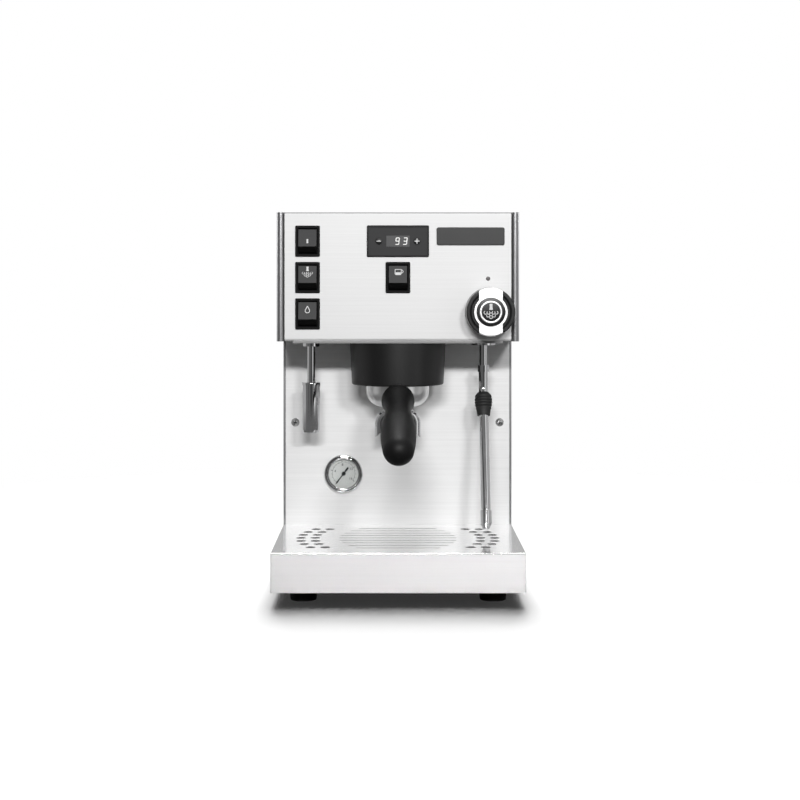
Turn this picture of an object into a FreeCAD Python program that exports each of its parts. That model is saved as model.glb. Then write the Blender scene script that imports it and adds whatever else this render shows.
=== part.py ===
import FreeCAD, Part
import math
import os

# Counter-top espresso machine: a steel casing with an overhanging head, a group with its
# portafilter, a steam wand, a hot water spout, a pressure gauge and a drip tray.
# Millimetres, +Z up. The front faces -Y and the user's right is +X. The origin is on the
# ground under the middle of the machine's length, with the portafilter's handle counted in.

V = FreeCAD.Vector

# Casing
BODY_WIDTH = 250.0
OVERALL_HEIGHT = 390.0
FOOT_HEIGHT = 14.0
BODY_DEPTH = 245.0       # splash panel face to rear panel face
HEAD_HEIGHT = 133.0
HEAD_REACH = 98.0        # splash panel face to fascia face
SHEET = 1.2
BASE_SHEET = 1.5
BEND = 3.0               # outer bend radius of the sheets
POST_WIDTH = 8.2         # rounded front edge of a side panel
POST_DEPTH = 10.0
POST_PROUD = 1.0
SIDE_FLANGE = 2.4        # side panel's edge beside the splash panel
RETURN = 14.0            # turned-in edge of a sheet
LIP_INSET = 17.0         # casing's side to the hem under the fascia
LIP_DROP = 2.0
LIP_DEPTH = 10.0

# Clearances
SEAM = 0.1               # between sheets that butt
FIT = 0.3                # between pieces that move past each other
RUNNING = 0.08           # round a pin or a shaft

# Feet
FOOT_RADIUS = 15.0
FOOT_TAPER = 2.0
FOOT_INSET_X = 30.0
FOOT_INSET_FRONT = 40.0
FOOT_INSET_REAR = 35.0

# Drip tray
TRAY_REACH = 175.0       # splash panel face to tray face
TRAY_HEIGHT = 39.0
TRAY_WALL = 1.5
TRAY_EDGE = 1.0          # rounding of the tray's front corners
GRATE_SHEET = 1.2
GRATE_FLANGE = 4.0
GRATE_ROUND = 0.8        # rounding of the front edge
SLOT_COUNT = 9
SLOT_PITCH = 14.6
SLOT_WIDTH = 3.2
SLOT_REACH = 61.0        # half length of the longest slot
SLOT_BOW = 100.0         # radius of the line through the slots' ends
HOLE_ROWS = 7
HOLE_PITCH = 18.2
HOLE_RADIUS = 5.0
HOLE_INSET = 24.5        # casing's side to the outermost hole
HOLE_STEP = 14.8         # between the two columns of a crescent
HOLE_BOW = 121.0

# Rocker switches
SWITCH_WIDTH = 25.4
SWITCH_HEIGHT = 32.0
SWITCH_PITCH = 37.4
SWITCH_TOP = 29.8        # top of the casing to the middle of the upper row
SWITCH_INSET = 32.0      # casing's side to the middle of the column
SWITCH_PROUD = 2.0
SWITCH_BODY_WIDTH = 22.0
SWITCH_BODY_HEIGHT = 28.6
SWITCH_BODY_DEPTH = 24.0
SWITCH_CORNER = 1.2
SWITCH_BEVEL = 0.7
WELL_BEVEL = 0.9
WELL_WIDTH = 19.4
WELL_HEIGHT = 25.8
WELL_DEPTH = 8.0
ROCKER_WIDTH = 18.6
ROCKER_HEIGHT = 24.0
ROCKER_TOP_PROUD = 1.6
ROCKER_RIDGE_PROUD = 5.2
ROCKER_RIDGE_DROP = 5.6
ROCKER_RIDGE_ROUND = 0.5
ROCKER_BACK = 1.5
ROCKER_HUB = 3.0
ROCKER_PIN = 1.2
PIVOT_DEPTH = 3.0
BLADE_WIDTH = 6.3
BLADE_THICK = 0.8
BLADE_LENGTH = 8.0
BLADE_SPREAD = 16.0

# Temperature display
DISPLAY_WIDTH = 64.0
DISPLAY_HEIGHT = 32.5
DISPLAY_PROUD = 2.0
DISPLAY_CORNER = 1.5
DISPLAY_RIM = 2.0
DISPLAY_SINK = 0.8
DISPLAY_BEVEL = 0.7
DISPLAY_BODY_WIDTH = 58.0
DISPLAY_BODY_HEIGHT = 27.0
DISPLAY_BODY_DEPTH = 22.0
WINDOW_WIDTH = 24.0
WINDOW_HEIGHT = 11.6
WINDOW_THICK = 1.4
BUTTON_SPREAD = 39.2
BUTTON_RADIUS = 3.5
BUTTON_PROUD = 1.1
BUTTON_LENGTH = 6.5
BUTTON_TRAVEL = 0.8

# Steam knob, lamp and valve
KNOB_INSET = 31.0        # casing's side to the knob's axis
KNOB_DROP = 102.4        # top of the casing to the knob's axis
KNOB_RADIUS = 25.2
KNOB_TAPER = 0.5
KNOB_DEPTH = 24.0
KNOB_GAP = 2.0           # knob's back to the fascia
KNOB_ROUND = 1.0
KNOB_BASE = 7.0
KNOB_DISH = 21.4         # radius of the dished face between the bridge and the rim
KNOB_DISH_DEPTH = 2.0
BRIDGE_WIDTH = 23.6
BRIDGE_RING = 16.8
BRIDGE_GROOVE = 0.4
CAP_RADIUS = 14.8
CAP_THICK = 2.0
CAP_CROWN = 0.8
STEM_RADIUS = 4.0
STEM_IN_KNOB = 12.0
STEM_IN_VALVE = 30.0
VALVE_RADIUS = 13.0
VALVE_TAIL = 14.0
VALVE_LEG = 10.0
LAMP_RISE = 34.0         # knob's axis to the lamp
LAMP_ASIDE = 1.2         # lamp nearer to the middle than the knob
LAMP_RADIUS = 2.1
LAMP_FLANGE = 3.0
LAMP_LENGTH = 10.0

# Group and portafilter
GROUP_REACH = 50.0       # splash panel face to the group's axis
COVER_TOP_RADIUS = 50.8
COVER_FOOT_RADIUS = 48.8
COVER_HEIGHT = 47.0
COVER_WALL = 2.5
COVER_ROUND = 2.0        # rounding of the cover's lower edge
GROUP_RADIUS = 42.0
GROUP_LIFT = 0.6         # group's lower face above the cover's edge
GROUP_NECK = 30.0
GROUP_FLANGE = 44.0
GROUP_FLANGE_THICK = 6.0
GROUP_BODY = 39.5        # height of the group below its neck
ARM_WIDTH = 36.0
ARM_HEIGHT = 24.0
CHAMBER_HEIGHT = 20.6    # group's lower face to the gasket's seat
GASKET_INNER = 30.6
GASKET_OUTER = 36.5
GASKET_HEIGHT = 8.0
SCREEN_RADIUS = 28.6
SCREEN_WALL = 0.8
SCREEN_HEIGHT = 6.0
RIM_RADIUS = 33.3
RIM_WALL = 3.0
RIM_DROP = 8.9           # gasket's seat to the portafilter's rim
EAR_RADIUS = 39.0
EAR_WIDTH = 14.0
EAR_HEIGHT = 6.0
EAR_DROP = 2.0           # rim to the top of the ears
UNLOCK_ANGLE = -45.0
BOWL_SHOULDER = 20.0     # rim to the start of the bowl's curve
BOWL_DEPTH = 36.0
BOWL_FLAT = 16.0
OUTLET_RADIUS = 11.0
OUTLET_BORE = 4.0
OUTLET_LENGTH = 12.0
BASKET_RADIUS = 29.4
BASKET_WALL = 0.8
BASKET_DEPTH = 20.0
BASKET_RIM = 0.8
HUB_WALL = 2.5
HUB_HEIGHT = 14.0
HUB_FLOOR = 2.5
SPOUT_SPREAD = 36.4
SPOUT_RADIUS = 6.3
SPOUT_WALL = 1.4
SPOUT_BEND = 10.0
SPOUT_DROP = 25.0
SPOUT_BEVEL = 40.0
HANDLE_START = 62.0      # group's axis to the middle of the handle's collar
HANDLE_ANGLE = 19.6
HANDLE_LENGTH = 113.6
HANDLE_DROP = 25.5       # portafilter's rim to the middle of the handle's collar
HANDLE_COLLAR = 16.9
HANDLE_WAIST = 13.2
HANDLE_BELLY = 17.5
HANDLE_END = 15.1
HANDLE_BACK = 10.0
HANDLE_WAIST_AT = 26.0   # along the handle from the collar's middle
HANDLE_BELLY_AT = 76.0
NECK_RADIUS = 6.5
NECK_RISE = 4.5

# Hot water spout
WATER_INSET = 33.0       # casing's side to the spout
WATER_REACH = 45.0
WATER_TUBE = 4.3
WATER_NUT = 9.0
WATER_NUT_HEIGHT = 7.0
WATER_DROP = 45.5        # head floor to the nozzle
NOZZLE_RADIUS = 9.7
NOZZLE_LENGTH = 53.0
NOZZLE_CHAMFER = 1.8
NOZZLE_COLLAR = 3.0
NOZZLE_BORE = 6.0

# Steam wand
WAND_INSET = 34.0        # casing's side to the wand
WAND_REACH = 46.0
BALL_RADIUS = 8.0
BALL_RISE = 4.0          # ball's middle above the head floor
SEAT_RADIUS = 10.7
SEAT_HEIGHT = 9.0
SOCKET_RADIUS = 13.0
SOCKET_DROP = 5.5
SOCKET_RISE = 14.0
SOCKET_MOUTH = 9.6
WAND_NECK = 4.2
WAND_TUBE = 5.0
WAND_COLLAR = 6.2
WAND_COLLAR_HEIGHT = 7.0
WAND_KNEE = 52.0         # head floor to the bend
WAND_BEND = 18.0
WAND_LEAN = 19.3
WAND_LENGTH = 130.0
GRIP_START = 4.6         # bend to the rubber grip, along the tube
GRIP_LENGTH = 24.8
GRIP_TOP = 5.8
GRIP_END = 6.8
GRIP_BELLY = 9.4
GRIP_BELLY_AT = 0.4      # share of the grip's length above its widest ring
GRIP_RINGS = 8
GRIP_RIBS = (2, 5)       # first and last of the rings with a groove
GRIP_RIB = 0.9
TIP_RADIUS = 5.8
TIP_LENGTH = 20.0
TIP_NOSE = 5.0

# Pressure gauge
GAUGE_INSET = 66.0       # casing's side to the gauge's middle
GAUGE_Z = 108.7
BEZEL_RADIUS = 21.0
BEZEL_PROUD = 5.0
BEZEL_WALL = 2.8
BEZEL_ROUND = 1.6
GAUGE_CASE = 19.5
GAUGE_DEPTH = 24.0
DIAL_SINK = 1.0
DIAL_THICK = 0.6
NEEDLE_LONG = 14.8
NEEDLE_SHORT = 7.4
NEEDLE_WIDTH = 1.0
NEEDLE_HEAD = 1.9        # width of the pointer's head and of the counterweight
NEEDLE_HEAD_LENGTH = 4.4
NEEDLE_HUB = 2.2
NEEDLE_LIFT = 0.8
NEEDLE_THICK = 0.7
NEEDLE_SPINDLE = 0.8
NEEDLE_ZERO = 217.0      # degrees clockwise from twelve o'clock
GLASS_THICK = 1.2
GLASS_SINK = 0.6

# Panel screws
SCREW_INSET = 13.0       # casing's side to a screw
SCREW_Z = 164.7
SCREW_HEAD = 4.6
SCREW_HEAD_HEIGHT = 2.4
SCREW_SHANK = 2.0
SCREW_LENGTH = 8.0
SCREW_CROSS = 5.2
SCREW_CROSS_WIDTH = 1.1
SCREW_CROSS_DEPTH = 1.4

# Top, rear and inlet
VENT_LENGTH = 60.0
VENT_WIDTH = 4.0
VENT_PITCH = 12.0
VENT_COUNT = 6
REAR_VENT_DROP = 100.0   # top of the casing to the lowest slot
TOP_VENT_INSET = 60.0
LEDGE = 5.0
LID_FINGER = 9.0
INLET_INSET = 53.0       # casing's side to the inlet's middle
INLET_Z = 38.0
INLET_WIDTH = 27.0
INLET_HEIGHT = 20.0
INLET_DEPTH = 26.0
INLET_FLANGE = 5.0
SOCKET_WIDTH = 22.0
SOCKET_HEIGHT = 14.0
SOCKET_DEPTH = 14.0
PRONG_WIDTH = 2.0
PRONG_LENGTH = 9.0
PRONG_SPREAD = 7.0

# Water tank, pump, boilers and board
TANK_WIDTH = 100.0
TANK_DEPTH = 66.0
TANK_INSET = 7.0         # tank to the casing's side and rear
TANK_TOP_GAP = 12.0
TANK_WALL = 2.2
PUMP_X = -62.0
PUMP_AXIS = 32.0         # base plate to the pump's axis
PUMP_RADIUS = 22.0
PUMP_GAP = 22.0          # pump's back to the tank
PUMP_LENGTH = 84.0
PUMP_FOOT = 36.0
PUMP_ELBOW = 7.0
HOSE_RADIUS = 6.5
NIPPLE_RADIUS = 4.0
NIPPLE_LENGTH = 8.0
FEED_RADIUS = 3.0
FEED_BEND = 16.0
BOILER_RADIUS = 38.0
BOILER_START = 62.0
BOILER_HEIGHT = 112.0
BOILER_SINK = 25.0       # head floor to the boiler's lower end
BOILER_CAP = 6.0
BOILER_BOSS = 12.0
COIL_WIDTH = 32.0
COIL_HEIGHT = 36.0
COIL_FOOT = 12.0
STEAM_BOILER_INSET = 53.0   # casing's side to the boiler's axis
STEAM_BOILER_BACK = 80.0    # rear panel face to the boiler's axis
STEAM_BOILER_RADIUS = 46.0
STEAM_BOILER_HEIGHT = 140.0
STEAM_BOILER_LEG = 44.0
LEG_RADIUS = 5.0
STEAM_PIPE = 4.0
STEAM_BEND = 25.0
STUB_HEIGHT = 10.0
BOARD_LENGTH = 100.0
BOARD_HEIGHT = 110.0
BOARD_THICK = 14.0
BOARD_START = 20.0
BOARD_Z = 215.0

# Levels and planes that follow from the sizes
HANDLE_TILT = math.radians(HANDLE_ANGLE)
HANDLE_TIP = GROUP_REACH + HANDLE_START + HANDLE_LENGTH * math.cos(HANDLE_TILT) + HANDLE_END
Y_PANEL = (BODY_DEPTH + HANDLE_TIP) / 2 - BODY_DEPTH
Y_REAR = Y_PANEL + BODY_DEPTH
Y_FASCIA = Y_PANEL - HEAD_REACH
Y_TRAY = Y_PANEL - TRAY_REACH
Y_GROUP = Y_PANEL - GROUP_REACH
HALF = BODY_WIDTH / 2
Z_BASE = FOOT_HEIGHT
Z_FLOOR = FOOT_HEIGHT + BASE_SHEET
Z_TOP = OVERALL_HEIGHT
Z_HEAD = OVERALL_HEIGHT - HEAD_HEIGHT
Z_HEAD_FLOOR = Z_HEAD + SHEET
Z_TRAY = FOOT_HEIGHT + TRAY_HEIGHT
Z_COVER = Z_HEAD - COVER_HEIGHT
Z_GROUP = Z_COVER + GROUP_LIFT
Z_SEAT = Z_GROUP + CHAMBER_HEIGHT
Z_RIM = Z_SEAT - RIM_DROP
Z_KNOB = Z_TOP - KNOB_DROP
Z_SWITCH = Z_TOP - SWITCH_TOP
Z_BALL = Z_HEAD + BALL_RISE
Z_OUTLET = Z_RIM - BOWL_DEPTH
Y_WAND = Y_PANEL - WAND_REACH
INNER = HALF - SHEET - SEAM
LIP_HALF = HALF - LIP_INSET
HOLE_REACH = HALF - HOLE_INSET
SWITCH_COLUMN = SWITCH_INSET - HALF
KNOB_X = HALF - KNOB_INSET
WATER_X = WATER_INSET - HALF
WAND_X = HALF - WAND_INSET
GAUGE_X = GAUGE_INSET - HALF
SCREW_X = HALF - SCREW_INSET
INLET_X = HALF - INLET_INSET
PUMP_START = BODY_DEPTH - TANK_INSET - TANK_DEPTH - PUMP_GAP - PUMP_LENGTH
STEAM_BOILER_X = HALF - STEAM_BOILER_INSET
STEAM_BOILER_START = BODY_DEPTH - STEAM_BOILER_BACK


def box(x, y, z):
    """Block between pairs of low and high values."""
    return Part.makeBox(x[1] - x[0], y[1] - y[0], z[1] - z[0], V(x[0], y[0], z[0]))


def rod(radius, start, end):
    """Round bar between two points."""
    along = V(*end) - V(*start)
    return Part.makeCylinder(radius, along.Length, V(*start), along)


def ring(outer, inner, start, end):
    """Tube between two points."""
    return rod(outer, start, end).cut(rod(inner, start, end))


def round_edges(shape, axis, radius, chosen=None):
    """Round the straight edges that run along an axis, or the chosen ones among them."""
    edges = []
    for edge in shape.Edges:
        along = edge.Vertexes[-1].Point - edge.Vertexes[0].Point
        straight = edge.Curve.TypeId == "Part::GeomLine"
        if straight and along.cross(V(*axis)).Length < 1e-6 * along.Length:
            if chosen is None or chosen(edge.CenterOfMass):
                edges.append(edge)
    return shape.makeFillet(radius, edges)


def plate_xz(x, z, width, height, corner, y):
    """Upright plate with rounded corners, centred on x and z."""
    plate = box((x - width / 2, x + width / 2), y, (z - height / 2, z + height / 2))
    return round_edges(plate, (0, 1, 0), corner)


def bevel_front(shape, y, size, chosen=None):
    """Bevel the edges that lie in a front plane, or the chosen ones among them."""
    edges = []
    for edge in shape.Edges:
        if max(abs(vertex.Point.y - y) for vertex in edge.Vertexes) < 1e-6 and abs(edge.CenterOfMass.y - y) < 1e-6:
            if chosen is None or chosen(edge.CenterOfMass):
                edges.append(edge)
    return shape.makeChamfer(size, edges)


def outline(steps, lift):
    """Closed wire. A step is a corner, or a point on an arc with the arc's end."""
    edges = []
    start = lift(steps[0])
    for step in steps[1:] + steps[:1]:
        if isinstance(step[0], tuple):
            end = lift(step[1])
            edges.append(Part.Arc(start, lift(step[0]), end).toShape())
        else:
            end = lift(step)
            edges.append(Part.LineSegment(start, end).toShape())
        start = end
    return Part.Wire(edges)


def turned(steps, base, axis):
    """Solid of revolution from steps of radius and height."""
    face = Part.Face(outline(steps, lambda step: V(step[0], 0, step[1])))
    return set_upright(face.revolve(V(0, 0, 0), V(0, 0, 1), 360), base, axis)


def set_upright(solid, base, axis):
    """Carry a solid that stands on the origin to a base point and an axis."""
    if solid.Volume < 0:
        solid.reverse()
    turn = FreeCAD.Rotation(V(0, 0, 1), V(*axis))
    solid.Placement = FreeCAD.Placement(V(*base), turn)
    return solid


def dome(radius, low, rise):
    """Arc of a round crown that closes on the axis."""
    sphere = (radius ** 2 + rise ** 2) / (2 * rise)
    half = math.asin(radius / sphere) / 2
    return (sphere * math.sin(half), low + rise - sphere + sphere * math.cos(half)), (0, low + rise)


def toward(start, aim, distance):
    """Point of a profile at a distance from one point, towards another."""
    length = math.hypot(aim[0] - start[0], aim[1] - start[1])
    return tuple(low + (high - low) * distance / length for low, high in zip(start, aim))


def arc_step(centre, radius, start, end):
    """Profile arc about a centre, from one point on it to another."""
    middle = ((start[0] + end[0]) / 2, (start[1] + end[1]) / 2)
    return toward(centre, middle, radius), end


def bent_path(points, bend):
    """Straight runs joined by arcs."""
    edges = []
    start = points[0]
    for before, corner, after in zip(points, points[1:], points[2:]):
        into = (corner - before).normalize()
        out = (after - corner).normalize()
        half_turn = into.getAngle(out) / 2
        trim = bend * math.tan(half_turn)
        inward = (out - into).normalize()
        middle = corner + inward * (bend / math.cos(half_turn) - bend)
        first, last = corner - into * trim, corner + out * trim
        edges.append(Part.LineSegment(start, first).toShape())
        edges.append(Part.Arc(first, middle, last).toShape())
        start = last
    edges.append(Part.LineSegment(start, points[-1]).toShape())
    return Part.Wire(edges)


def pipe(points, radius, bend):
    """Solid round bar along a bent path."""
    points = [V(*point) for point in points]
    section = Part.Wire([Part.makeCircle(radius, points[0], points[1] - points[0])])
    return bent_path(points, bend).makePipeShell([section], True, False)


def mirrored(shape):
    """The same piece on the other side of the machine."""
    return shape.mirror(V(0, 0, 0), V(1, 0, 0))


# Casing

def base_plate():
    y = (Y_TRAY + TRAY_WALL + FIT, Y_REAR - SHEET - SEAM)
    plate = box((-INNER, INNER), y, (Z_BASE, Z_FLOOR))
    upturn_y = (Y_PANEL + SHEET + SEAM, y[1])
    for x in ((-INNER, -INNER + SHEET), (INNER - SHEET, INNER)):
        plate = plate.fuse(box(x, upturn_y, (Z_BASE, Z_FLOOR + RETURN)))
    inner = HALF - SIDE_FLANGE - SEAM
    notches = [box(x, (Y_PANEL - SEAM, Y_PANEL + SHEET + SEAM), (0, Z_HEAD)) for x in ((-HALF, -inner), (inner, HALF))]
    return plate.cut(notches).removeSplitter()


def rubber_feet():
    feet = []
    steps = [(0, 0), (FOOT_RADIUS - FOOT_TAPER, 0), (FOOT_RADIUS, FOOT_HEIGHT), (0, FOOT_HEIGHT)]
    for x in (-HALF + FOOT_INSET_X, HALF - FOOT_INSET_X):
        for y in (Y_TRAY + FOOT_INSET_FRONT, Y_REAR - FOOT_INSET_REAR):
            feet.append(turned(steps, (x, y, 0), (0, 0, 1)))
    return Part.makeCompound(feet)


def side_panel():
    """Left side: one L-shaped sheet with a rounded post at the head's front edge."""
    post_back = Y_FASCIA - POST_PROUD + POST_DEPTH
    corners = [(post_back - SHEET, Z_HEAD), (post_back - SHEET, Z_TOP), (Y_REAR, Z_TOP),
               (Y_REAR, Z_BASE), (Y_PANEL, Z_BASE), (Y_PANEL, Z_HEAD)]
    wire = outline(corners, lambda step: V(-HALF, step[0], step[1]))
    panel = Part.Face(wire).extrude(V(SHEET, 0, 0))
    flange = box((-HALF, -HALF + SIDE_FLANGE), (Y_PANEL, Y_PANEL + SHEET), (Z_BASE, Z_HEAD))
    post = box((-HALF, -HALF + POST_WIDTH), (Y_FASCIA - POST_PROUD, post_back), (Z_HEAD, Z_TOP))
    post = round_edges(post, (0, 0, 1), POST_WIDTH / 2 - SEAM,
                       lambda middle: middle.y < Y_FASCIA)
    return panel.fuse([flange, post]).removeSplitter()


def splash_panel():
    half = HALF - SIDE_FLANGE - SEAM
    y = (Y_PANEL, Y_PANEL + SHEET)
    panel = box((-half, half), y, (Z_FLOOR, Z_HEAD))
    panel = panel.fuse(box((-half + BEND, half - BEND), (Y_PANEL, Y_PANEL + RETURN), (Z_HEAD - SHEET, Z_HEAD)))
    holes = [rod(GAUGE_CASE + FIT, (GAUGE_X, y[0] - 1, GAUGE_Z), (GAUGE_X, y[1] + 1, GAUGE_Z))]
    for x in (-SCREW_X, SCREW_X):
        holes.append(rod(SCREW_SHANK + FIT, (x, y[0] - 1, SCREW_Z), (x, y[1] + 1, SCREW_Z)))
    return panel.cut(holes).removeSplitter()


def control_fascia():
    """Bent front sheet of the head, with its hem and the openings for the controls."""
    half = HALF - POST_WIDTH - SEAM
    outer = box((-half, half), (Y_FASCIA, Y_FASCIA + RETURN), (Z_HEAD, Z_TOP))
    outer = round_edges(outer, (1, 0, 0), BEND, lambda middle: middle.y < Y_FASCIA + SHEET)
    inner = box((-half, half), (Y_FASCIA + SHEET, Y_FASCIA + RETURN), (Z_HEAD + SHEET, Z_TOP - SHEET))
    inner = round_edges(inner, (1, 0, 0), BEND - SHEET, lambda middle: middle.y < Y_FASCIA + BEND)
    hem = box((-LIP_HALF, LIP_HALF), (Y_FASCIA + SHEET, Y_FASCIA + SHEET + LIP_DEPTH),
              (Z_HEAD - LIP_DROP, Z_HEAD + SHEET))
    fascia = outer.cut(inner).fuse(hem)
    y = (Y_FASCIA - 1, Y_FASCIA + SHEET + 1)
    cuts = []
    for x, z in SWITCHES.values():
        cuts.append(plate_xz(x, z, SWITCH_BODY_WIDTH + 2 * SEAM, SWITCH_BODY_HEIGHT + 2 * SEAM, SEAM, y))
    cuts.append(plate_xz(0, Z_SWITCH, DISPLAY_BODY_WIDTH + 2 * SEAM, DISPLAY_BODY_HEIGHT + 2 * SEAM, SEAM, y))
    cuts.append(rod(STEM_RADIUS + FIT, (KNOB_X, y[0], Z_KNOB), (KNOB_X, y[1], Z_KNOB)))
    lamp_x, lamp_z = KNOB_X - LAMP_ASIDE, Z_KNOB + LAMP_RISE
    cuts.append(rod(LAMP_RADIUS + SEAM, (lamp_x, y[0], lamp_z), (lamp_x, y[1], lamp_z)))
    return fascia.cut(cuts).removeSplitter()


def corner_tabs(z):
    """Front corners of a sheet that fill the space between the fascia's edge and the posts."""
    y = (Y_FASCIA - POST_PROUD + POST_DEPTH + SEAM, Y_FASCIA + RETURN + 2 * SEAM)
    return [box(x, y, z) for x in ((-INNER, POST_WIDTH - HALF), (HALF - POST_WIDTH, INNER))]


def head_floor():
    y = (Y_FASCIA + RETURN + SEAM, Y_PANEL + RETURN)
    z = (Z_HEAD, Z_HEAD_FLOOR)
    plate = box((-INNER, INNER), y, z).fuse(corner_tabs(z))
    for x in ((-INNER, -INNER + SHEET), (INNER - SHEET, INNER)):
        plate = plate.fuse(box(x, y, (Z_HEAD, Z_HEAD + RETURN)))
    holes = [rod(GROUP_NECK + FIT, (0, Y_GROUP, z[0] - 1), (0, Y_GROUP, z[1] + 1)),
             rod(SOCKET_RADIUS + FIT, (WAND_X, Y_WAND, z[0] - 1), (WAND_X, Y_WAND, z[1] + 1))]
    water_y = Y_PANEL - WATER_REACH
    holes.append(rod(WATER_TUBE + FIT, (WATER_X, water_y, z[0] - 1), (WATER_X, water_y, z[1] + 1)))
    return plate.cut(holes).removeSplitter()


def tank_box():
    """Low and high corners of the water tank."""
    x = (-HALF + TANK_INSET, -HALF + TANK_INSET + TANK_WIDTH)
    y = (Y_REAR - TANK_INSET - TANK_DEPTH, Y_REAR - TANK_INSET)
    return x, y, (Z_FLOOR, Z_TOP - TANK_TOP_GAP)


def top_cover():
    """Cup shelf with warming slots and the sunk ledge of the tank's lid."""
    y = (Y_FASCIA + RETURN + SEAM, Y_REAR - SHEET - SEAM)
    z = (Z_TOP - SHEET, Z_TOP)
    cover = box((-INNER, INNER), y, z).fuse(corner_tabs(z))
    for x in ((-INNER, -INNER + SHEET), (INNER - SHEET, INNER)):
        cover = cover.fuse(box(x, y, (Z_TOP - RETURN, Z_TOP)))
    tank_x, tank_y, _ = tank_box()
    ledge_z = (Z_TOP - 2 * SHEET, Z_TOP - SHEET)
    cover = cover.fuse(box((tank_x[0] - SHEET, tank_x[1] + LEDGE), (tank_y[0] - LEDGE, tank_y[1] + SHEET), ledge_z))
    cuts = [box(tank_x, tank_y, (z[0], z[1] + 1)),
            box((tank_x[0] + LEDGE, tank_x[1] - LEDGE), (tank_y[0] + LEDGE, tank_y[1] - LEDGE),
                (ledge_z[0] - 1, z[1]))]
    for row in range(VENT_COUNT):
        vent_y = Y_FASCIA + TOP_VENT_INSET + row * VENT_PITCH
        for side in (-1, 1):
            x = side * VENT_LENGTH * 0.75
            vent = box((x - VENT_LENGTH / 2, x + VENT_LENGTH / 2), (vent_y, vent_y + VENT_WIDTH), (z[0] - 1, z[1] + 1))
            cuts.append(round_edges(vent, (0, 0, 1), VENT_WIDTH * 0.49))
    return cover.cut(cuts).removeSplitter()


def tank_lid():
    tank_x, tank_y, _ = tank_box()
    lid = box((tank_x[0] + FIT, tank_x[1] - FIT), (tank_y[0] + FIT, tank_y[1] - FIT), (Z_TOP - SHEET, Z_TOP))
    lid = round_edges(lid, (0, 0, 1), BEND)
    x = (tank_x[0] + tank_x[1]) / 2
    finger_y = tank_y[0] + LEDGE + LID_FINGER + BEND
    return lid.cut(rod(LID_FINGER, (x, finger_y, Z_TOP - 2 * SHEET), (x, finger_y, Z_TOP + 1)))


def rear_panel():
    y = (Y_REAR - SHEET, Y_REAR)
    panel = box((-INNER, INNER), y, (Z_BASE, Z_TOP))
    cuts = [box((INLET_X - INLET_WIDTH / 2 - SEAM, INLET_X + INLET_WIDTH / 2 + SEAM), (y[0] - 1, y[1] + 1),
                (INLET_Z - INLET_HEIGHT / 2 - SEAM, INLET_Z + INLET_HEIGHT / 2 + SEAM))]
    for row in range(VENT_COUNT):
        z = Z_TOP - REAR_VENT_DROP + row * VENT_PITCH
        for side in (-1, 1):
            x = side * VENT_LENGTH * 0.75
            vent = box((x - VENT_LENGTH / 2, x + VENT_LENGTH / 2), (y[0] - 1, y[1] + 1), (z, z + VENT_WIDTH))
            cuts.append(round_edges(vent, (0, 1, 0), VENT_WIDTH * 0.49))
    return panel.cut(cuts)


def power_inlet():
    """Recessed appliance inlet with three prongs, set through the rear panel."""
    body = plate_xz(INLET_X, INLET_Z, INLET_WIDTH, INLET_HEIGHT, BEND, (Y_REAR - INLET_DEPTH, Y_REAR))
    flange = plate_xz(INLET_X, INLET_Z, INLET_WIDTH + 2 * INLET_FLANGE, INLET_HEIGHT + 2 * INLET_FLANGE, BEND,
                      (Y_REAR - SHEET - PRONG_WIDTH, Y_REAR - SHEET))
    recess = plate_xz(INLET_X, INLET_Z, SOCKET_WIDTH, SOCKET_HEIGHT, BEND, (Y_REAR - SOCKET_DEPTH, Y_REAR + 1))
    inlet = body.fuse(flange).cut(recess)
    prongs = []
    for step in (-1, 0, 1):
        x = INLET_X + step * PRONG_SPREAD
        z = INLET_Z + (PRONG_WIDTH if step == 0 else -PRONG_WIDTH) / 2
        y = (Y_REAR - SOCKET_DEPTH - 1, Y_REAR - SOCKET_DEPTH + PRONG_LENGTH)
        prongs.append(box((x - PRONG_WIDTH / 2, x + PRONG_WIDTH / 2), y, (z - PRONG_WIDTH, z + PRONG_WIDTH)))
    return inlet.fuse(prongs).removeSplitter()


# Drip tray

def drip_tray():
    y = (Y_TRAY, Y_PANEL - FIT)
    z = (Z_FLOOR + FIT, Z_TRAY - GRATE_SHEET)
    tray = box((-HALF, HALF), y, z)
    tray = tray.fuse(box((-HALF, HALF), (Y_TRAY, Y_TRAY + TRAY_WALL), (Z_BASE, z[1])))
    tray = round_edges(tray.removeSplitter(), (0, 0, 1), TRAY_EDGE, lambda middle: middle.y < Y_TRAY + TRAY_WALL / 2)
    well = box((-HALF + TRAY_WALL, HALF - TRAY_WALL), (y[0] + TRAY_WALL, y[1] - TRAY_WALL),
               (z[0] + TRAY_WALL, z[1] + 1))
    return tray.cut(well)


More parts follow.
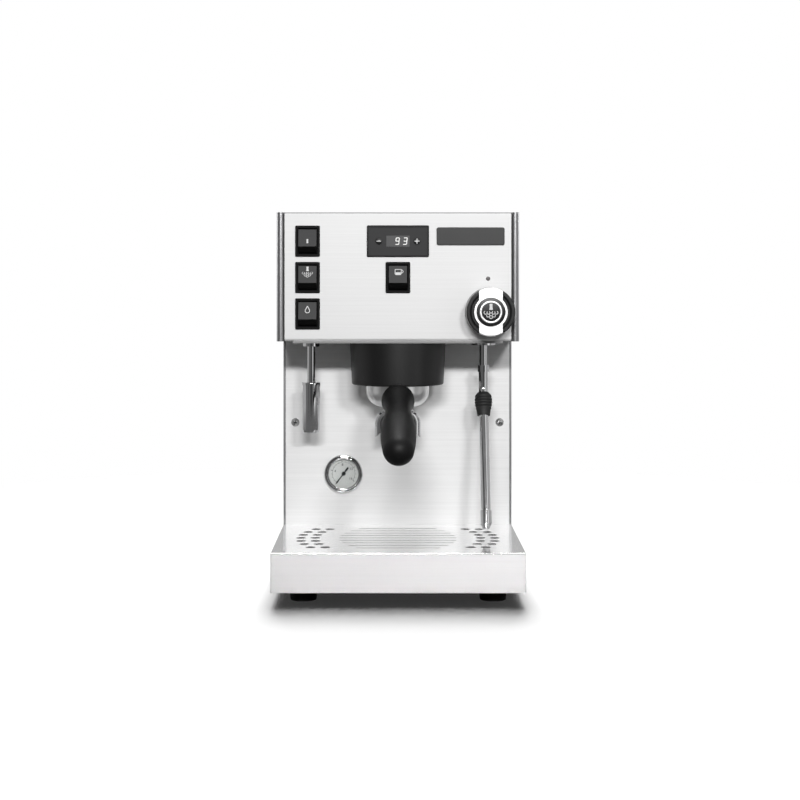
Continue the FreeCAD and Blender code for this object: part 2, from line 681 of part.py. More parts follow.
def tray_grate():
    """Flat cover of the tray: slots in a barrel-shaped field between two crescents of holes."""
    y = (Y_TRAY, Y_PANEL - FIT)
    z = (Z_TRAY - GRATE_SHEET, Z_TRAY)
    grate = box((-HALF, HALF), y, z)
    grate = round_edges(grate, (0, 0, 1), TRAY_EDGE, lambda middle: middle.y < Y_TRAY + 1)
    grate = round_edges(grate, (1, 0, 0), GRATE_ROUND,
                        lambda middle: middle.y < Y_TRAY + 1 and middle.z > Z_TRAY - GRATE_SHEET / 2)
    inset = TRAY_WALL + FIT
    flange_y = (y[0] + inset, y[1] - inset)
    for x in ((-HALF + inset, -HALF + inset + GRATE_SHEET), (HALF - inset - GRATE_SHEET, HALF - inset)):
        grate = grate.fuse(box(x, flange_y, (Z_TRAY - GRATE_FLANGE, Z_TRAY)))
    middle_y = (y[0] + y[1]) / 2
    cuts = []
    for row in range(SLOT_COUNT):
        offset = (row - (SLOT_COUNT - 1) / 2) * SLOT_PITCH
        reach = SLOT_REACH - SLOT_BOW + math.sqrt(SLOT_BOW ** 2 - offset ** 2)
        slot_y = (middle_y + offset - SLOT_WIDTH / 2, middle_y + offset + SLOT_WIDTH / 2)
        slot = box((-reach, reach), slot_y, (z[0] - 1, z[1] + 1))
        cuts.append(round_edges(slot, (0, 0, 1), SLOT_WIDTH * 0.49))
    for row in range(HOLE_ROWS):
        offset = (row - (HOLE_ROWS - 1) / 2) * HOLE_PITCH
        outer = HOLE_REACH - HOLE_BOW + math.sqrt(HOLE_BOW ** 2 - offset ** 2)
        for reach in (outer, outer - HOLE_STEP):
            for x in (-reach, reach):
                hole_y = middle_y + offset
                cuts.append(rod(HOLE_RADIUS, (x, hole_y, z[0] - 1), (x, hole_y, z[1] + 1)))
    return grate.cut(cuts).removeSplitter()


# Controls

SWITCHES = {
    "power": (SWITCH_COLUMN, Z_SWITCH),
    "steam": (SWITCH_COLUMN, Z_SWITCH - SWITCH_PITCH),
    "water": (SWITCH_COLUMN, Z_SWITCH - 2 * SWITCH_PITCH),
    "brew": (0.0, Z_SWITCH - SWITCH_PITCH),
}


def switch_housing(x, z):
    face = Y_FASCIA - SWITCH_PROUD
    frame = plate_xz(x, z, SWITCH_WIDTH, SWITCH_HEIGHT, SWITCH_CORNER, (face, Y_FASCIA))
    frame = bevel_front(frame, face, SWITCH_BEVEL)
    half_width, half_height = SWITCH_BODY_WIDTH / 2, SWITCH_BODY_HEIGHT / 2
    back = Y_FASCIA + SWITCH_BODY_DEPTH
    body = box((x - half_width, x + half_width), (Y_FASCIA, back), (z - half_height, z + half_height))
    blades = []
    for side in (-1, 1):
        blade_z = z + side * BLADE_SPREAD / 2
        blades.append(box((x - BLADE_WIDTH / 2, x + BLADE_WIDTH / 2), (back - 1, back + BLADE_LENGTH),
                          (blade_z - BLADE_THICK / 2, blade_z + BLADE_THICK / 2)))
    well = box((x - WELL_WIDTH / 2, x + WELL_WIDTH / 2), (face - 1, Y_FASCIA + WELL_DEPTH),
               (z - WELL_HEIGHT / 2, z + WELL_HEIGHT / 2))
    pivot_y = Y_FASCIA + PIVOT_DEPTH
    pivot = rod(ROCKER_PIN + RUNNING, (x - half_width - 1, pivot_y, z), (x + half_width + 1, pivot_y, z))
    housing = frame.fuse([body] + blades).cut([well, pivot]).removeSplitter()
    return bevel_front(housing, face, WELL_BEVEL, lambda middle: abs(middle.x - x) < WELL_WIDTH / 2 + SEAM
                       and abs(middle.z - z) < WELL_HEIGHT / 2 + SEAM)


def rocker(x, z):
    """Rocker with a long upper face, a ridge below the middle and a hub on its pin."""
    half = ROCKER_HEIGHT / 2
    corners = [(-ROCKER_TOP_PROUD, half), (-ROCKER_RIDGE_PROUD, -ROCKER_RIDGE_DROP), (-ROCKER_TOP_PROUD / 2, -half),
               (ROCKER_BACK, -half), (ROCKER_BACK, -ROCKER_HUB), (PIVOT_DEPTH + ROCKER_PIN * 1.6, -ROCKER_HUB),
               (PIVOT_DEPTH + ROCKER_PIN * 1.6, ROCKER_HUB), (ROCKER_BACK, ROCKER_HUB), (ROCKER_BACK, half)]
    wire = outline(corners, lambda step: V(x - ROCKER_WIDTH / 2, Y_FASCIA + step[0], z + step[1]))
    key = Part.Face(wire).extrude(V(ROCKER_WIDTH, 0, 0))
    key = round_edges(key, (1, 0, 0), ROCKER_RIDGE_ROUND,
                      lambda middle: middle.y < Y_FASCIA - ROCKER_RIDGE_PROUD + SEAM)
    reach = SWITCH_BODY_WIDTH / 2 - SEAM
    pivot_y = Y_FASCIA + PIVOT_DEPTH
    return key.fuse(rod(ROCKER_PIN, (x - reach, pivot_y, z), (x + reach, pivot_y, z))).removeSplitter()


def display_housing():
    face = Y_FASCIA - DISPLAY_PROUD
    frame = plate_xz(0, Z_SWITCH, DISPLAY_WIDTH, DISPLAY_HEIGHT, DISPLAY_CORNER, (face, Y_FASCIA))
    frame = bevel_front(frame, face, DISPLAY_BEVEL)
    body = box((-DISPLAY_BODY_WIDTH / 2, DISPLAY_BODY_WIDTH / 2), (Y_FASCIA, Y_FASCIA + DISPLAY_BODY_DEPTH),
               (Z_SWITCH - DISPLAY_BODY_HEIGHT / 2, Z_SWITCH + DISPLAY_BODY_HEIGHT / 2))
    sunk = face + DISPLAY_SINK
    cuts = [plate_xz(0, Z_SWITCH, DISPLAY_WIDTH - 2 * DISPLAY_RIM, DISPLAY_HEIGHT - 2 * DISPLAY_RIM,
                     DISPLAY_CORNER / 2, (face - 1, sunk)),
            plate_xz(0, Z_SWITCH, WINDOW_WIDTH, WINDOW_HEIGHT, SEAM, (sunk - 1, sunk + WINDOW_THICK))]
    for side in (-1, 1):
        x = side * BUTTON_SPREAD / 2
        depth = sunk + BUTTON_LENGTH + 2 * BUTTON_TRAVEL
        cuts.append(rod(BUTTON_RADIUS + RUNNING, (x, sunk - 1, Z_SWITCH), (x, depth, Z_SWITCH)))
    return frame.fuse(body).cut(cuts).removeSplitter()


def display_window():
    sunk = Y_FASCIA - DISPLAY_PROUD + DISPLAY_SINK
    return plate_xz(0, Z_SWITCH, WINDOW_WIDTH - 2 * SEAM, WINDOW_HEIGHT - 2 * SEAM, SEAM, (sunk, sunk + WINDOW_THICK))


def display_button(x):
    sunk = Y_FASCIA - DISPLAY_PROUD + DISPLAY_SINK
    crown = BUTTON_PROUD * 0.6
    steps = [(0, -BUTTON_LENGTH), (BUTTON_RADIUS, -BUTTON_LENGTH), (BUTTON_RADIUS, BUTTON_PROUD - crown),
             dome(BUTTON_RADIUS, BUTTON_PROUD - crown, crown)]
    return turned(steps, (x, sunk, Z_SWITCH), (0, -1, 0))


def steam_lamp():
    steps = [(0, -LAMP_LENGTH), (LAMP_FLANGE, -LAMP_LENGTH), (LAMP_FLANGE, -SHEET), (LAMP_RADIUS, -SHEET),
             (LAMP_RADIUS, 0), dome(LAMP_RADIUS, 0, LAMP_RADIUS * 0.8)]
    return turned(steps, (KNOB_X - LAMP_ASIDE, Y_FASCIA, Z_KNOB + LAMP_RISE), (0, -1, 0))


def knob_blank():
    """Turned blank of the steam knob, standing on its back face."""
    front = KNOB_RADIUS - KNOB_TAPER
    shoulder = KNOB_DEPTH - KNOB_ROUND
    bulge = KNOB_ROUND * math.sqrt(0.5)
    steps = [(0, 0), (KNOB_RADIUS - KNOB_TAPER, 0), (KNOB_RADIUS, KNOB_TAPER), (front, shoulder),
             ((front - KNOB_ROUND + bulge, shoulder + bulge), (front - KNOB_ROUND, KNOB_DEPTH)), (0, KNOB_DEPTH)]
    return turned(steps, (KNOB_X, Y_FASCIA - KNOB_GAP, Z_KNOB), (0, -1, 0))


def bridge_zone(extra):
    """Upright bar and round middle that the knob's bright bridge fills."""
    y = (Y_FASCIA - KNOB_GAP - 2 * KNOB_DEPTH, Y_FASCIA - KNOB_GAP - KNOB_BASE + extra)
    half = BRIDGE_WIDTH / 2 + extra
    bar = box((KNOB_X - half, KNOB_X + half), y, (Z_KNOB - 2 * KNOB_RADIUS, Z_KNOB + 2 * KNOB_RADIUS))
    return bar.fuse(rod(BRIDGE_RING + extra, (KNOB_X, y[0], Z_KNOB), (KNOB_X, y[1], Z_KNOB)))


def knob_body():
    back = Y_FASCIA - KNOB_GAP
    bore = rod(STEM_RADIUS + RUNNING, (KNOB_X, back + 1, Z_KNOB), (KNOB_X, back - STEM_IN_KNOB, Z_KNOB))
    groove = bridge_zone(BRIDGE_GROOVE).cut(box_behind_bridge())
    dish = turned([(0, 0), (KNOB_DISH - KNOB_DISH_DEPTH, 0), (KNOB_DISH, KNOB_DISH_DEPTH), (0, KNOB_DISH_DEPTH)],
                  (KNOB_X, back - KNOB_DEPTH + KNOB_DISH_DEPTH, Z_KNOB), (0, -1, 0))
    return knob_blank().cut([bridge_zone(0), groove, bore, dish])


def box_behind_bridge():
    """Everything further back than the bridge's seat on the knob's base."""
    y = Y_FASCIA - KNOB_GAP - KNOB_BASE
    reach = 2 * KNOB_RADIUS
    return box((KNOB_X - reach, KNOB_X + reach), (y, y + KNOB_DEPTH), (Z_KNOB - reach, Z_KNOB + reach))


def knob_bridge():
    face = Y_FASCIA - KNOB_GAP - KNOB_DEPTH
    pocket = rod(CAP_RADIUS, (KNOB_X, face - 1, Z_KNOB), (KNOB_X, face + CAP_THICK, Z_KNOB))
    bore = rod(STEM_RADIUS + RUNNING, (KNOB_X, Y_FASCIA, Z_KNOB),
               (KNOB_X, Y_FASCIA - KNOB_GAP - STEM_IN_KNOB, Z_KNOB))
    return knob_blank().common(bridge_zone(0)).cut([pocket, bore])


def knob_cap():
    face = Y_FASCIA - KNOB_GAP - KNOB_DEPTH
    steps = [(0, 0), (CAP_RADIUS - SEAM, 0), (CAP_RADIUS - SEAM, CAP_THICK),
             dome(CAP_RADIUS - SEAM, CAP_THICK, CAP_CROWN)]
    return turned(steps, (KNOB_X, face + CAP_THICK, Z_KNOB), (0, -1, 0))


def valve_stem():
    start = (KNOB_X, Y_FASCIA - KNOB_GAP - STEM_IN_KNOB, Z_KNOB)
    return rod(STEM_RADIUS, start, (KNOB_X, Y_FASCIA + SHEET + STEM_IN_VALVE, Z_KNOB))


def steam_valve():
    """Valve body behind the fascia, with the leg that carries the wand's socket."""
    front = Y_FASCIA + SHEET
    body = rod(VALVE_RADIUS, (KNOB_X, front, Z_KNOB), (KNOB_X, Y_WAND + VALVE_TAIL, Z_KNOB))
    leg = rod(VALVE_LEG, (WAND_X, Y_WAND, Z_KNOB), (WAND_X, Y_WAND, Z_HEAD + SOCKET_RISE))
    bore = rod(STEM_RADIUS + RUNNING, (KNOB_X, front - 1, Z_KNOB), (KNOB_X, front + STEM_IN_VALVE + FIT, Z_KNOB))
    return body.fuse(leg).cut(bore).removeSplitter()


# Group and portafilter

def group_cover():
    """Black bell round the group, cut flat where it meets the splash panel."""
    top = Z_HEAD - LIP_DROP - SEAM
    corner = COVER_ROUND * (1 - math.sqrt(0.5))
    edge = ((COVER_FOOT_RADIUS - corner, Z_COVER + corner), (COVER_FOOT_RADIUS, Z_COVER + COVER_ROUND))
    steps = [(COVER_FOOT_RADIUS - COVER_WALL, Z_COVER), (COVER_FOOT_RADIUS - COVER_ROUND, Z_COVER), edge,
             (COVER_TOP_RADIUS, top), (COVER_TOP_RADIUS - COVER_WALL, top)]
    bell = turned(steps, (0, Y_GROUP, 0), (0, 0, 1))
    behind = box((-BODY_WIDTH, BODY_WIDTH), (Y_PANEL - FIT, Y_PANEL + BODY_DEPTH), (0, OVERALL_HEIGHT))
    return bell.cut(behind)


def group_head():
    """Casting that hangs under the head floor, with the thread lip and the arm to the boiler."""
    def disc(radius, low, high):
        return rod(radius, (0, Y_GROUP, low), (0, Y_GROUP, high))
    top = Z_GROUP + GROUP_BODY
    flange_top = Z_HEAD_FLOOR + GROUP_FLANGE_THICK
    arm = box((-ARM_WIDTH / 2, ARM_WIDTH / 2), (Y_GROUP, Y_PANEL + BOILER_START - BOILER_RADIUS),
              (flange_top, flange_top + ARM_HEIGHT))
    casting = disc(GROUP_RADIUS, Z_GROUP, top).fuse(
        [disc(GROUP_NECK, top - 1, Z_HEAD_FLOOR + 1), disc(GROUP_FLANGE, Z_HEAD_FLOOR, flange_top), arm])
    ears_low = Z_RIM - EAR_DROP - EAR_HEIGHT
    cuts = [disc(RIM_RADIUS + 2 * FIT, Z_GROUP - 1, Z_SEAT),
            disc(EAR_RADIUS + 2 * FIT, ears_low - FIT, Z_SEAT - GASKET_HEIGHT),
            disc(GASKET_OUTER + SEAM, Z_SEAT - GASKET_HEIGHT, Z_SEAT)]
    half = EAR_WIDTH / 2 + 2 * FIT
    reach = EAR_RADIUS + 2 * FIT
    entry = box((-reach, reach), (-half, half), (Z_GROUP - 1, Z_RIM)).common(
        rod(reach, (0, 0, Z_GROUP - 1), (0, 0, Z_RIM)))
    entry.rotate(V(0, 0, 0), V(0, 0, 1), UNLOCK_ANGLE)
    entry.translate(V(0, Y_GROUP, 0))
    return casting.cut(cuts + [entry]).removeSplitter()


def group_gasket():
    low = Z_RIM + BASKET_RIM + FIT
    return ring(GASKET_OUTER, GASKET_INNER, (0, Y_GROUP, low), (0, Y_GROUP, Z_SEAT))


def shower_screen():
    low = Z_SEAT - SCREEN_HEIGHT
    cup = rod(SCREEN_RADIUS, (0, Y_GROUP, low), (0, Y_GROUP, Z_SEAT))
    hollow = rod(SCREEN_RADIUS - SCREEN_WALL, (0, Y_GROUP, low + SCREEN_WALL), (0, Y_GROUP, Z_SEAT))
    return cup.cut(hollow)


def neck_line():
    """Axis of the bar between the portafilter's bowl and its handle."""
    collar = V(0, Y_GROUP - HANDLE_START, Z_RIM - HANDLE_DROP)
    root = V(0, Y_GROUP - RIM_RADIUS + RIM_WALL / 2, collar.z + NECK_RISE)
    return root, collar


def portafilter_body():
    """Bowl with its rim, the two ears that lock in the group and the neck of the handle."""
    shoulder = Z_RIM - BOWL_SHOULDER
    bend = ((RIM_RADIUS * 0.62 + BOWL_FLAT * 0.38, Z_OUTLET + (shoulder - Z_OUTLET) * 0.22), (BOWL_FLAT, Z_OUTLET))
    inner = RIM_RADIUS - RIM_WALL
    steps = [(inner, Z_RIM), (RIM_RADIUS, Z_RIM), (RIM_RADIUS, shoulder), bend, (OUTLET_RADIUS, Z_OUTLET),
             (OUTLET_RADIUS, Z_OUTLET - OUTLET_LENGTH), (OUTLET_BORE, Z_OUTLET - OUTLET_LENGTH),
             (OUTLET_BORE, Z_OUTLET + RIM_WALL), (BOWL_FLAT, Z_OUTLET + RIM_WALL * 1.6),
             (inner, Z_RIM - BASKET_DEPTH - RIM_WALL)]
    bowl = turned(steps, (0, Y_GROUP, 0), (0, 0, 1))
    ears_z = (Z_RIM - EAR_DROP - EAR_HEIGHT, Z_RIM - EAR_DROP)
    ears = box((-EAR_RADIUS, EAR_RADIUS), (Y_GROUP - EAR_WIDTH / 2, Y_GROUP + EAR_WIDTH / 2), ears_z)
    ears = ears.common(ring(EAR_RADIUS, RIM_RADIUS - 1, (0, Y_GROUP, ears_z[0]), (0, Y_GROUP, ears_z[1])))
    root, collar = neck_line()
    return bowl.fuse([ears, rod(NECK_RADIUS, root, collar)]).removeSplitter()


def portafilter_handle():
    """Turned grip: a round collar, a waist, a belly and a round end, joined by tangent arcs."""
    root, collar = neck_line()
    back = (math.sqrt(HANDLE_COLLAR ** 2 - HANDLE_BACK ** 2), -HANDLE_BACK)
    waist = (HANDLE_WAIST, HANDLE_WAIST_AT)
    belly = (HANDLE_BELLY, HANDLE_BELLY_AT)
    tip = (0, HANDLE_LENGTH + HANDLE_END)
    # The hollow between collar and waist touches the collar's ball from outside.
    hollow = (HANDLE_WAIST_AT ** 2 + HANDLE_WAIST ** 2 - HANDLE_COLLAR ** 2) / (2 * (HANDLE_COLLAR - HANDLE_WAIST))
    hollow_centre = (HANDLE_WAIST + hollow, HANDLE_WAIST_AT)
    leave_collar = toward((0, 0), hollow_centre, HANDLE_COLLAR)
    # Two equal arcs lead from the waist to the belly.
    rise, run = HANDLE_BELLY - HANDLE_WAIST, HANDLE_BELLY_AT - HANDLE_WAIST_AT
    sweep = (rise ** 2 + run ** 2) / (4 * rise)
    between = ((HANDLE_WAIST + HANDLE_BELLY) / 2, (HANDLE_WAIST_AT + HANDLE_BELLY_AT) / 2)
    # The belly runs into the round end, which touches it from inside.
    rest = HANDLE_LENGTH - HANDLE_BELLY_AT
    crown = (HANDLE_BELLY ** 2 + rest ** 2 - HANDLE_END ** 2) / (2 * (HANDLE_BELLY - HANDLE_END))
    crown_centre = (HANDLE_BELLY - crown, HANDLE_BELLY_AT)
    meet_end = toward(crown_centre, (0, HANDLE_LENGTH), crown)
    steps = [(0, -HANDLE_BACK), back,
             arc_step((0, 0), HANDLE_COLLAR, back, leave_collar),
             arc_step(hollow_centre, hollow, leave_collar, waist),
             arc_step((HANDLE_WAIST + sweep, HANDLE_WAIST_AT), sweep, waist, between),
             arc_step((HANDLE_BELLY - sweep, HANDLE_BELLY_AT), sweep, between, belly),
             arc_step(crown_centre, crown, belly, meet_end),
             arc_step((0, HANDLE_LENGTH), HANDLE_END, meet_end, tip)]
    grip = turned(steps, collar, (0, -math.cos(HANDLE_TILT), -math.sin(HANDLE_TILT)))
    return grip.cut(rod(NECK_RADIUS + RUNNING, root, collar))


def filter_basket():
    low = Z_RIM - BASKET_DEPTH
    cup = rod(BASKET_RADIUS, (0, Y_GROUP, low), (0, Y_GROUP, Z_RIM + BASKET_RIM))
    rim = rod(RIM_RADIUS - SEAM, (0, Y_GROUP, Z_RIM), (0, Y_GROUP, Z_RIM + BASKET_RIM))
    hollow = rod(BASKET_RADIUS - BASKET_WALL, (0, Y_GROUP, low + BASKET_WALL), (0, Y_GROUP, Z_RIM + 2 * BASKET_RIM))
    return cup.fuse(rim).cut(hollow).removeSplitter()


def double_spout():
    """Hub under the bowl with two bent outlets whose ends are cut on the slant."""
    top = Z_OUTLET - FIT
    hub_radius = OUTLET_RADIUS + HUB_WALL
    spout = rod(hub_radius, (0, Y_GROUP, top - HUB_HEIGHT - HUB_FLOOR), (0, Y_GROUP, top))
    cuts = [rod(OUTLET_RADIUS + RUNNING, (0, Y_GROUP, Z_OUTLET - OUTLET_LENGTH), (0, Y_GROUP, top + 1))]
    level = top - HUB_HEIGHT + SPOUT_RADIUS
    tubes = []
    for side in (-1, 1):
        x = side * SPOUT_SPREAD / 2
        path = [(0, Y_GROUP, level), (x, Y_GROUP, level), (x, Y_GROUP, level - SPOUT_DROP)]
        tubes.append(pipe(path, SPOUT_RADIUS, SPOUT_BEND))
        bored = [(0, Y_GROUP, level), (x, Y_GROUP, level), (x, Y_GROUP, level - SPOUT_DROP - 1)]
        cuts.append(pipe(bored, SPOUT_RADIUS - SPOUT_WALL, SPOUT_BEND))
        wedge = box((-2 * SPOUT_SPREAD, 2 * SPOUT_SPREAD), (-SPOUT_SPREAD, SPOUT_SPREAD), (-SPOUT_SPREAD, 0))
        wedge.rotate(V(0, 0, 0), V(0, 1, 0), side * SPOUT_BEVEL)
        wedge.translate(V(x + side * SPOUT_RADIUS, Y_GROUP, level - SPOUT_DROP))
        cuts.append(wedge.common(box((min(0, 2 * x), max(0, 2 * x)), (Y_GROUP - SPOUT_SPREAD, Y_GROUP + SPOUT_SPREAD),
                                     (0, level - SPOUT_RADIUS - SPOUT_WALL))))
    return spout.fuse(tubes).cut(cuts).removeSplitter()


# Hot water spout

def hot_water_tube():
    y = Y_PANEL - WATER_REACH
    tube = rod(WATER_TUBE, (WATER_X, y, Z_HEAD - WATER_DROP), (WATER_X, y, Z_HEAD_FLOOR + 2 * WATER_NUT_HEIGHT))
    lower = rod(WATER_NUT, (WATER_X, y, Z_HEAD - WATER_NUT_HEIGHT), (WATER_X, y, Z_HEAD))
    upper = rod(WATER_NUT, (WATER_X, y, Z_HEAD_FLOOR), (WATER_X, y, Z_HEAD_FLOOR + WATER_NUT_HEIGHT))
    return tube.fuse([lower, upper]).removeSplitter()


def hot_water_nozzle():
    top = Z_HEAD - WATER_DROP
    low = top - NOZZLE_LENGTH
    chamfer = NOZZLE_RADIUS - NOZZLE_CHAMFER
    waist = NOZZLE_RADIUS - NOZZLE_CHAMFER / 4
    steps = [(0, top), (NOZZLE_RADIUS, top), (NOZZLE_RADIUS, top - NOZZLE_COLLAR), (waist, top - NOZZLE_COLLAR),
             (waist, low + NOZZLE_CHAMFER * 2), (chamfer, low), (NOZZLE_BORE, low), (NOZZLE_BORE, low + NOZZLE_RADIUS),
             (0, low + NOZZLE_RADIUS)]
    return turned(steps, (WATER_X, Y_PANEL - WATER_REACH, 0), (0, 0, 1))


# Steam wand

def wand_socket():
    low = Z_HEAD - SOCKET_DROP
    lip = Z_BALL - SEAT_HEIGHT / 2 - FIT
    high = Z_HEAD + SOCKET_RISE
    nut = rod(SOCKET_RADIUS, (WAND_X, Y_WAND, low), (WAND_X, Y_WAND, high))
    mouth = rod(SOCKET_MOUTH, (WAND_X, Y_WAND, low - 1), (WAND_X, Y_WAND, high))
    chamber = rod(SEAT_RADIUS + FIT, (WAND_X, Y_WAND, lip), (WAND_X, Y_WAND, high + 1))
    collar = ring(SOCKET_RADIUS + BEND, SOCKET_RADIUS, (WAND_X, Y_WAND, Z_HEAD_FLOOR),
                  (WAND_X, Y_WAND, Z_HEAD_FLOOR + BEND))
    return nut.fuse(collar).cut([mouth, chamber]).removeSplitter()


def wand_seat():
    half = SEAT_HEIGHT / 2
    seat = rod(SEAT_RADIUS, (WAND_X, Y_WAND, Z_BALL - half), (WAND_X, Y_WAND, Z_BALL + half))
    return seat.cut(Part.makeSphere(BALL_RADIUS + FIT, V(WAND_X, Y_WAND, Z_BALL)))


def wand_line():
    """Knee of the wand and the direction of its lower run."""
    lean = math.radians(WAND_LEAN)
    return V(WAND_X, Y_WAND, Z_HEAD - WAND_KNEE), V(0, -math.sin(lean), -math.cos(lean))


def wand_tube():
    knee, run = wand_line()
    ball = Part.makeSphere(BALL_RADIUS, V(WAND_X, Y_WAND, Z_BALL))
    collar_top = knee.z + WAND_BEND + WAND_COLLAR_HEIGHT
    neck = rod(WAND_NECK, (WAND_X, Y_WAND, Z_BALL), (WAND_X, Y_WAND, collar_top - WAND_COLLAR_HEIGHT))
    collar = rod(WAND_COLLAR, (WAND_X, Y_WAND, knee.z + WAND_BEND), (WAND_X, Y_WAND, collar_top))
    lower = pipe([(WAND_X, Y_WAND, collar_top - 1), knee, knee + run * WAND_LENGTH], WAND_TUBE, WAND_BEND)
    return ball.fuse([neck, collar, lower]).removeSplitter()


def wand_grip():
    """Ribbed rubber sleeve on the lower run."""
    knee, run = wand_line()
    inner = WAND_TUBE + RUNNING
    pitch = GRIP_LENGTH / GRIP_RINGS

    def swell(along):
        """Envelope: a round shoulder down to the widest ring, then a long taper."""
        share = along / GRIP_LENGTH
        if share < GRIP_BELLY_AT:
            return GRIP_TOP + (GRIP_BELLY - GRIP_TOP) * math.sqrt(1 - (1 - share / GRIP_BELLY_AT) ** 2)
        rest = (share - GRIP_BELLY_AT) / (1 - GRIP_BELLY_AT)
        return GRIP_END + (GRIP_BELLY - GRIP_END) * (1 + math.cos(math.pi * rest)) / 2
    steps = [(inner, 0), (GRIP_TOP, 0)]
    for count in range(1, GRIP_RINGS + 1):
        along = count * pitch
        grooved = GRIP_RIBS[0] <= count <= GRIP_RIBS[1]
        if grooved or GRIP_RIBS[0] <= count - 1 <= GRIP_RIBS[1]:
            steps.append(((swell(along - pitch / 2), along - pitch / 2), (swell(along) - GRIP_RIB * grooved, along)))
        else:
            steps.append((swell(along), along))
    steps.append((inner, GRIP_LENGTH))
    return turned(steps, knee + run * GRIP_START, run)


def wand_tip():
    knee, run = wand_line()
    flat = TIP_RADIUS * 0.55
    steps = [(0, 0), (WAND_TUBE, 0), (TIP_RADIUS, 1), (TIP_RADIUS, TIP_LENGTH - TIP_NOSE), (flat, TIP_LENGTH),
             (0, TIP_LENGTH)]
    return turned(steps, knee + run * WAND_LENGTH, run)


# Pressure gauge

def on_gauge(steps):
    """Turned gauge piece; heights run forward from the splash panel's face."""
    return turned(steps, (GAUGE_X, Y_PANEL, GAUGE_Z), (0, -1, 0))


def gauge_case():
    inner = BEZEL_RADIUS - BEZEL_WALL
    edge = BEZEL_PROUD - BEZEL_ROUND
    round_middle = BEZEL_ROUND * (1 - math.sqrt(0.5))
    steps = [(0, -GAUGE_DEPTH), (GAUGE_CASE, -GAUGE_DEPTH), (GAUGE_CASE, 0), (BEZEL_RADIUS, 0), (BEZEL_RADIUS, edge),
             ((BEZEL_RADIUS - round_middle, BEZEL_PROUD - round_middle), (BEZEL_RADIUS - BEZEL_ROUND, BEZEL_PROUD)),
             (inner, BEZEL_PROUD), (inner, -DIAL_SINK), (0, -DIAL_SINK)]
    bore = rod(NEEDLE_SPINDLE + RUNNING, (GAUGE_X, Y_PANEL, GAUGE_Z), (GAUGE_X, Y_PANEL + GAUGE_DEPTH / 2, GAUGE_Z))
    return on_gauge(steps).cut(bore)


def gauge_dial():
    radius = BEZEL_RADIUS - BEZEL_WALL - SEAM
    hole = NEEDLE_SPINDLE + FIT
    low, high = -DIAL_SINK, DIAL_THICK - DIAL_SINK
    return on_gauge([(hole, low), (radius, low), (radius, high), (hole, high)])


def gauge_needle():
    """Pointer with its counterweight, hub and spindle, at zero pressure."""
    low = DIAL_THICK - DIAL_SINK + NEEDLE_LIFT
    y = (Y_PANEL - low - NEEDLE_THICK, Y_PANEL - low)
    half, wide = NEEDLE_WIDTH / 2, NEEDLE_HEAD / 2
    neck = NEEDLE_LONG - NEEDLE_HEAD_LENGTH
    corners = [(0, NEEDLE_LONG), (wide, neck + NEEDLE_HEAD_LENGTH / 3), (half, neck), (half, -NEEDLE_SHORT / 3),
               (wide, -NEEDLE_SHORT / 2), (wide, -NEEDLE_SHORT), ((0, -NEEDLE_SHORT - wide), (-wide, -NEEDLE_SHORT)),
               (-wide, -NEEDLE_SHORT / 2), (-half, -NEEDLE_SHORT / 3), (-half, neck),
               (-wide, neck + NEEDLE_HEAD_LENGTH / 3)]
    pointer = Part.Face(outline(corners, lambda step: V(step[0], y[0], step[1]))).extrude(V(0, y[1] - y[0], 0))
    pointer.rotate(V(0, 0, 0), V(0, 1, 0), NEEDLE_ZERO)
    pointer.translate(V(GAUGE_X, 0, GAUGE_Z))
    deep = GAUGE_DEPTH / 2 - FIT
    hub = on_gauge([(0, -deep), (NEEDLE_SPINDLE, -deep), (NEEDLE_SPINDLE, low), (NEEDLE_HUB, low),
                    (NEEDLE_HUB, low + 2 * NEEDLE_THICK), (0, low + 2 * NEEDLE_THICK)])
    return pointer.fuse(hub).removeSplitter()


def gauge_glass():
    radius = BEZEL_RADIUS - BEZEL_WALL - SEAM
    high = BEZEL_PROUD - GLASS_SINK
    return on_gauge([(0, high - GLASS_THICK), (radius, high - GLASS_THICK), (radius, high), (0, high)])


def panel_screws():
    steps = [(0, -SCREW_LENGTH), (SCREW_SHANK, -SCREW_LENGTH), (SCREW_SHANK, 0), (SCREW_HEAD, 0),
             dome(SCREW_HEAD, 0, SCREW_HEAD_HEIGHT)]
    screws = []
    face = Y_PANEL - SCREW_HEAD_HEIGHT
    long, thin = SCREW_CROSS / 2, SCREW_CROSS_WIDTH / 2
    for x in (-SCREW_X, SCREW_X):
        cross = [box((x - across, x + across), (face - 1, face + SCREW_CROSS_DEPTH), (SCREW_Z - up, SCREW_Z + up))
                 for across, up in ((long, thin), (thin, long))]
        screws.append(turned(steps, (x, Y_PANEL, SCREW_Z), (0, -1, 0)).cut(cross))
    return Part.makeCompound(screws)


# Water and steam system

def water_tank():
    x, y, z = tank_box()
    tank = round_edges(box(x, y, z), (0, 0, 1), 2 * BEND)
    hollow = box((x[0] + TANK_WALL, x[1] - TANK_WALL), (y[0] + TANK_WALL, y[1] - TANK_WALL),
                 (z[0] + TANK_WALL, z[1] + 1))
    hollow = round_edges(hollow, (0, 0, 1), 2 * BEND - TANK_WALL)
    axis_z = Z_FLOOR + PUMP_AXIS
    nipple = rod(NIPPLE_RADIUS, (PUMP_X, y[0] - NIPPLE_LENGTH, axis_z), (PUMP_X, y[0] + TANK_WALL / 2, axis_z))
    bore = rod(NIPPLE_RADIUS / 2, (PUMP_X, y[0] - NIPPLE_LENGTH - 1, axis_z), (PUMP_X, y[0] + 2 * TANK_WALL, axis_z))
    return tank.cut(hollow).fuse(nipple).cut(bore).removeSplitter()


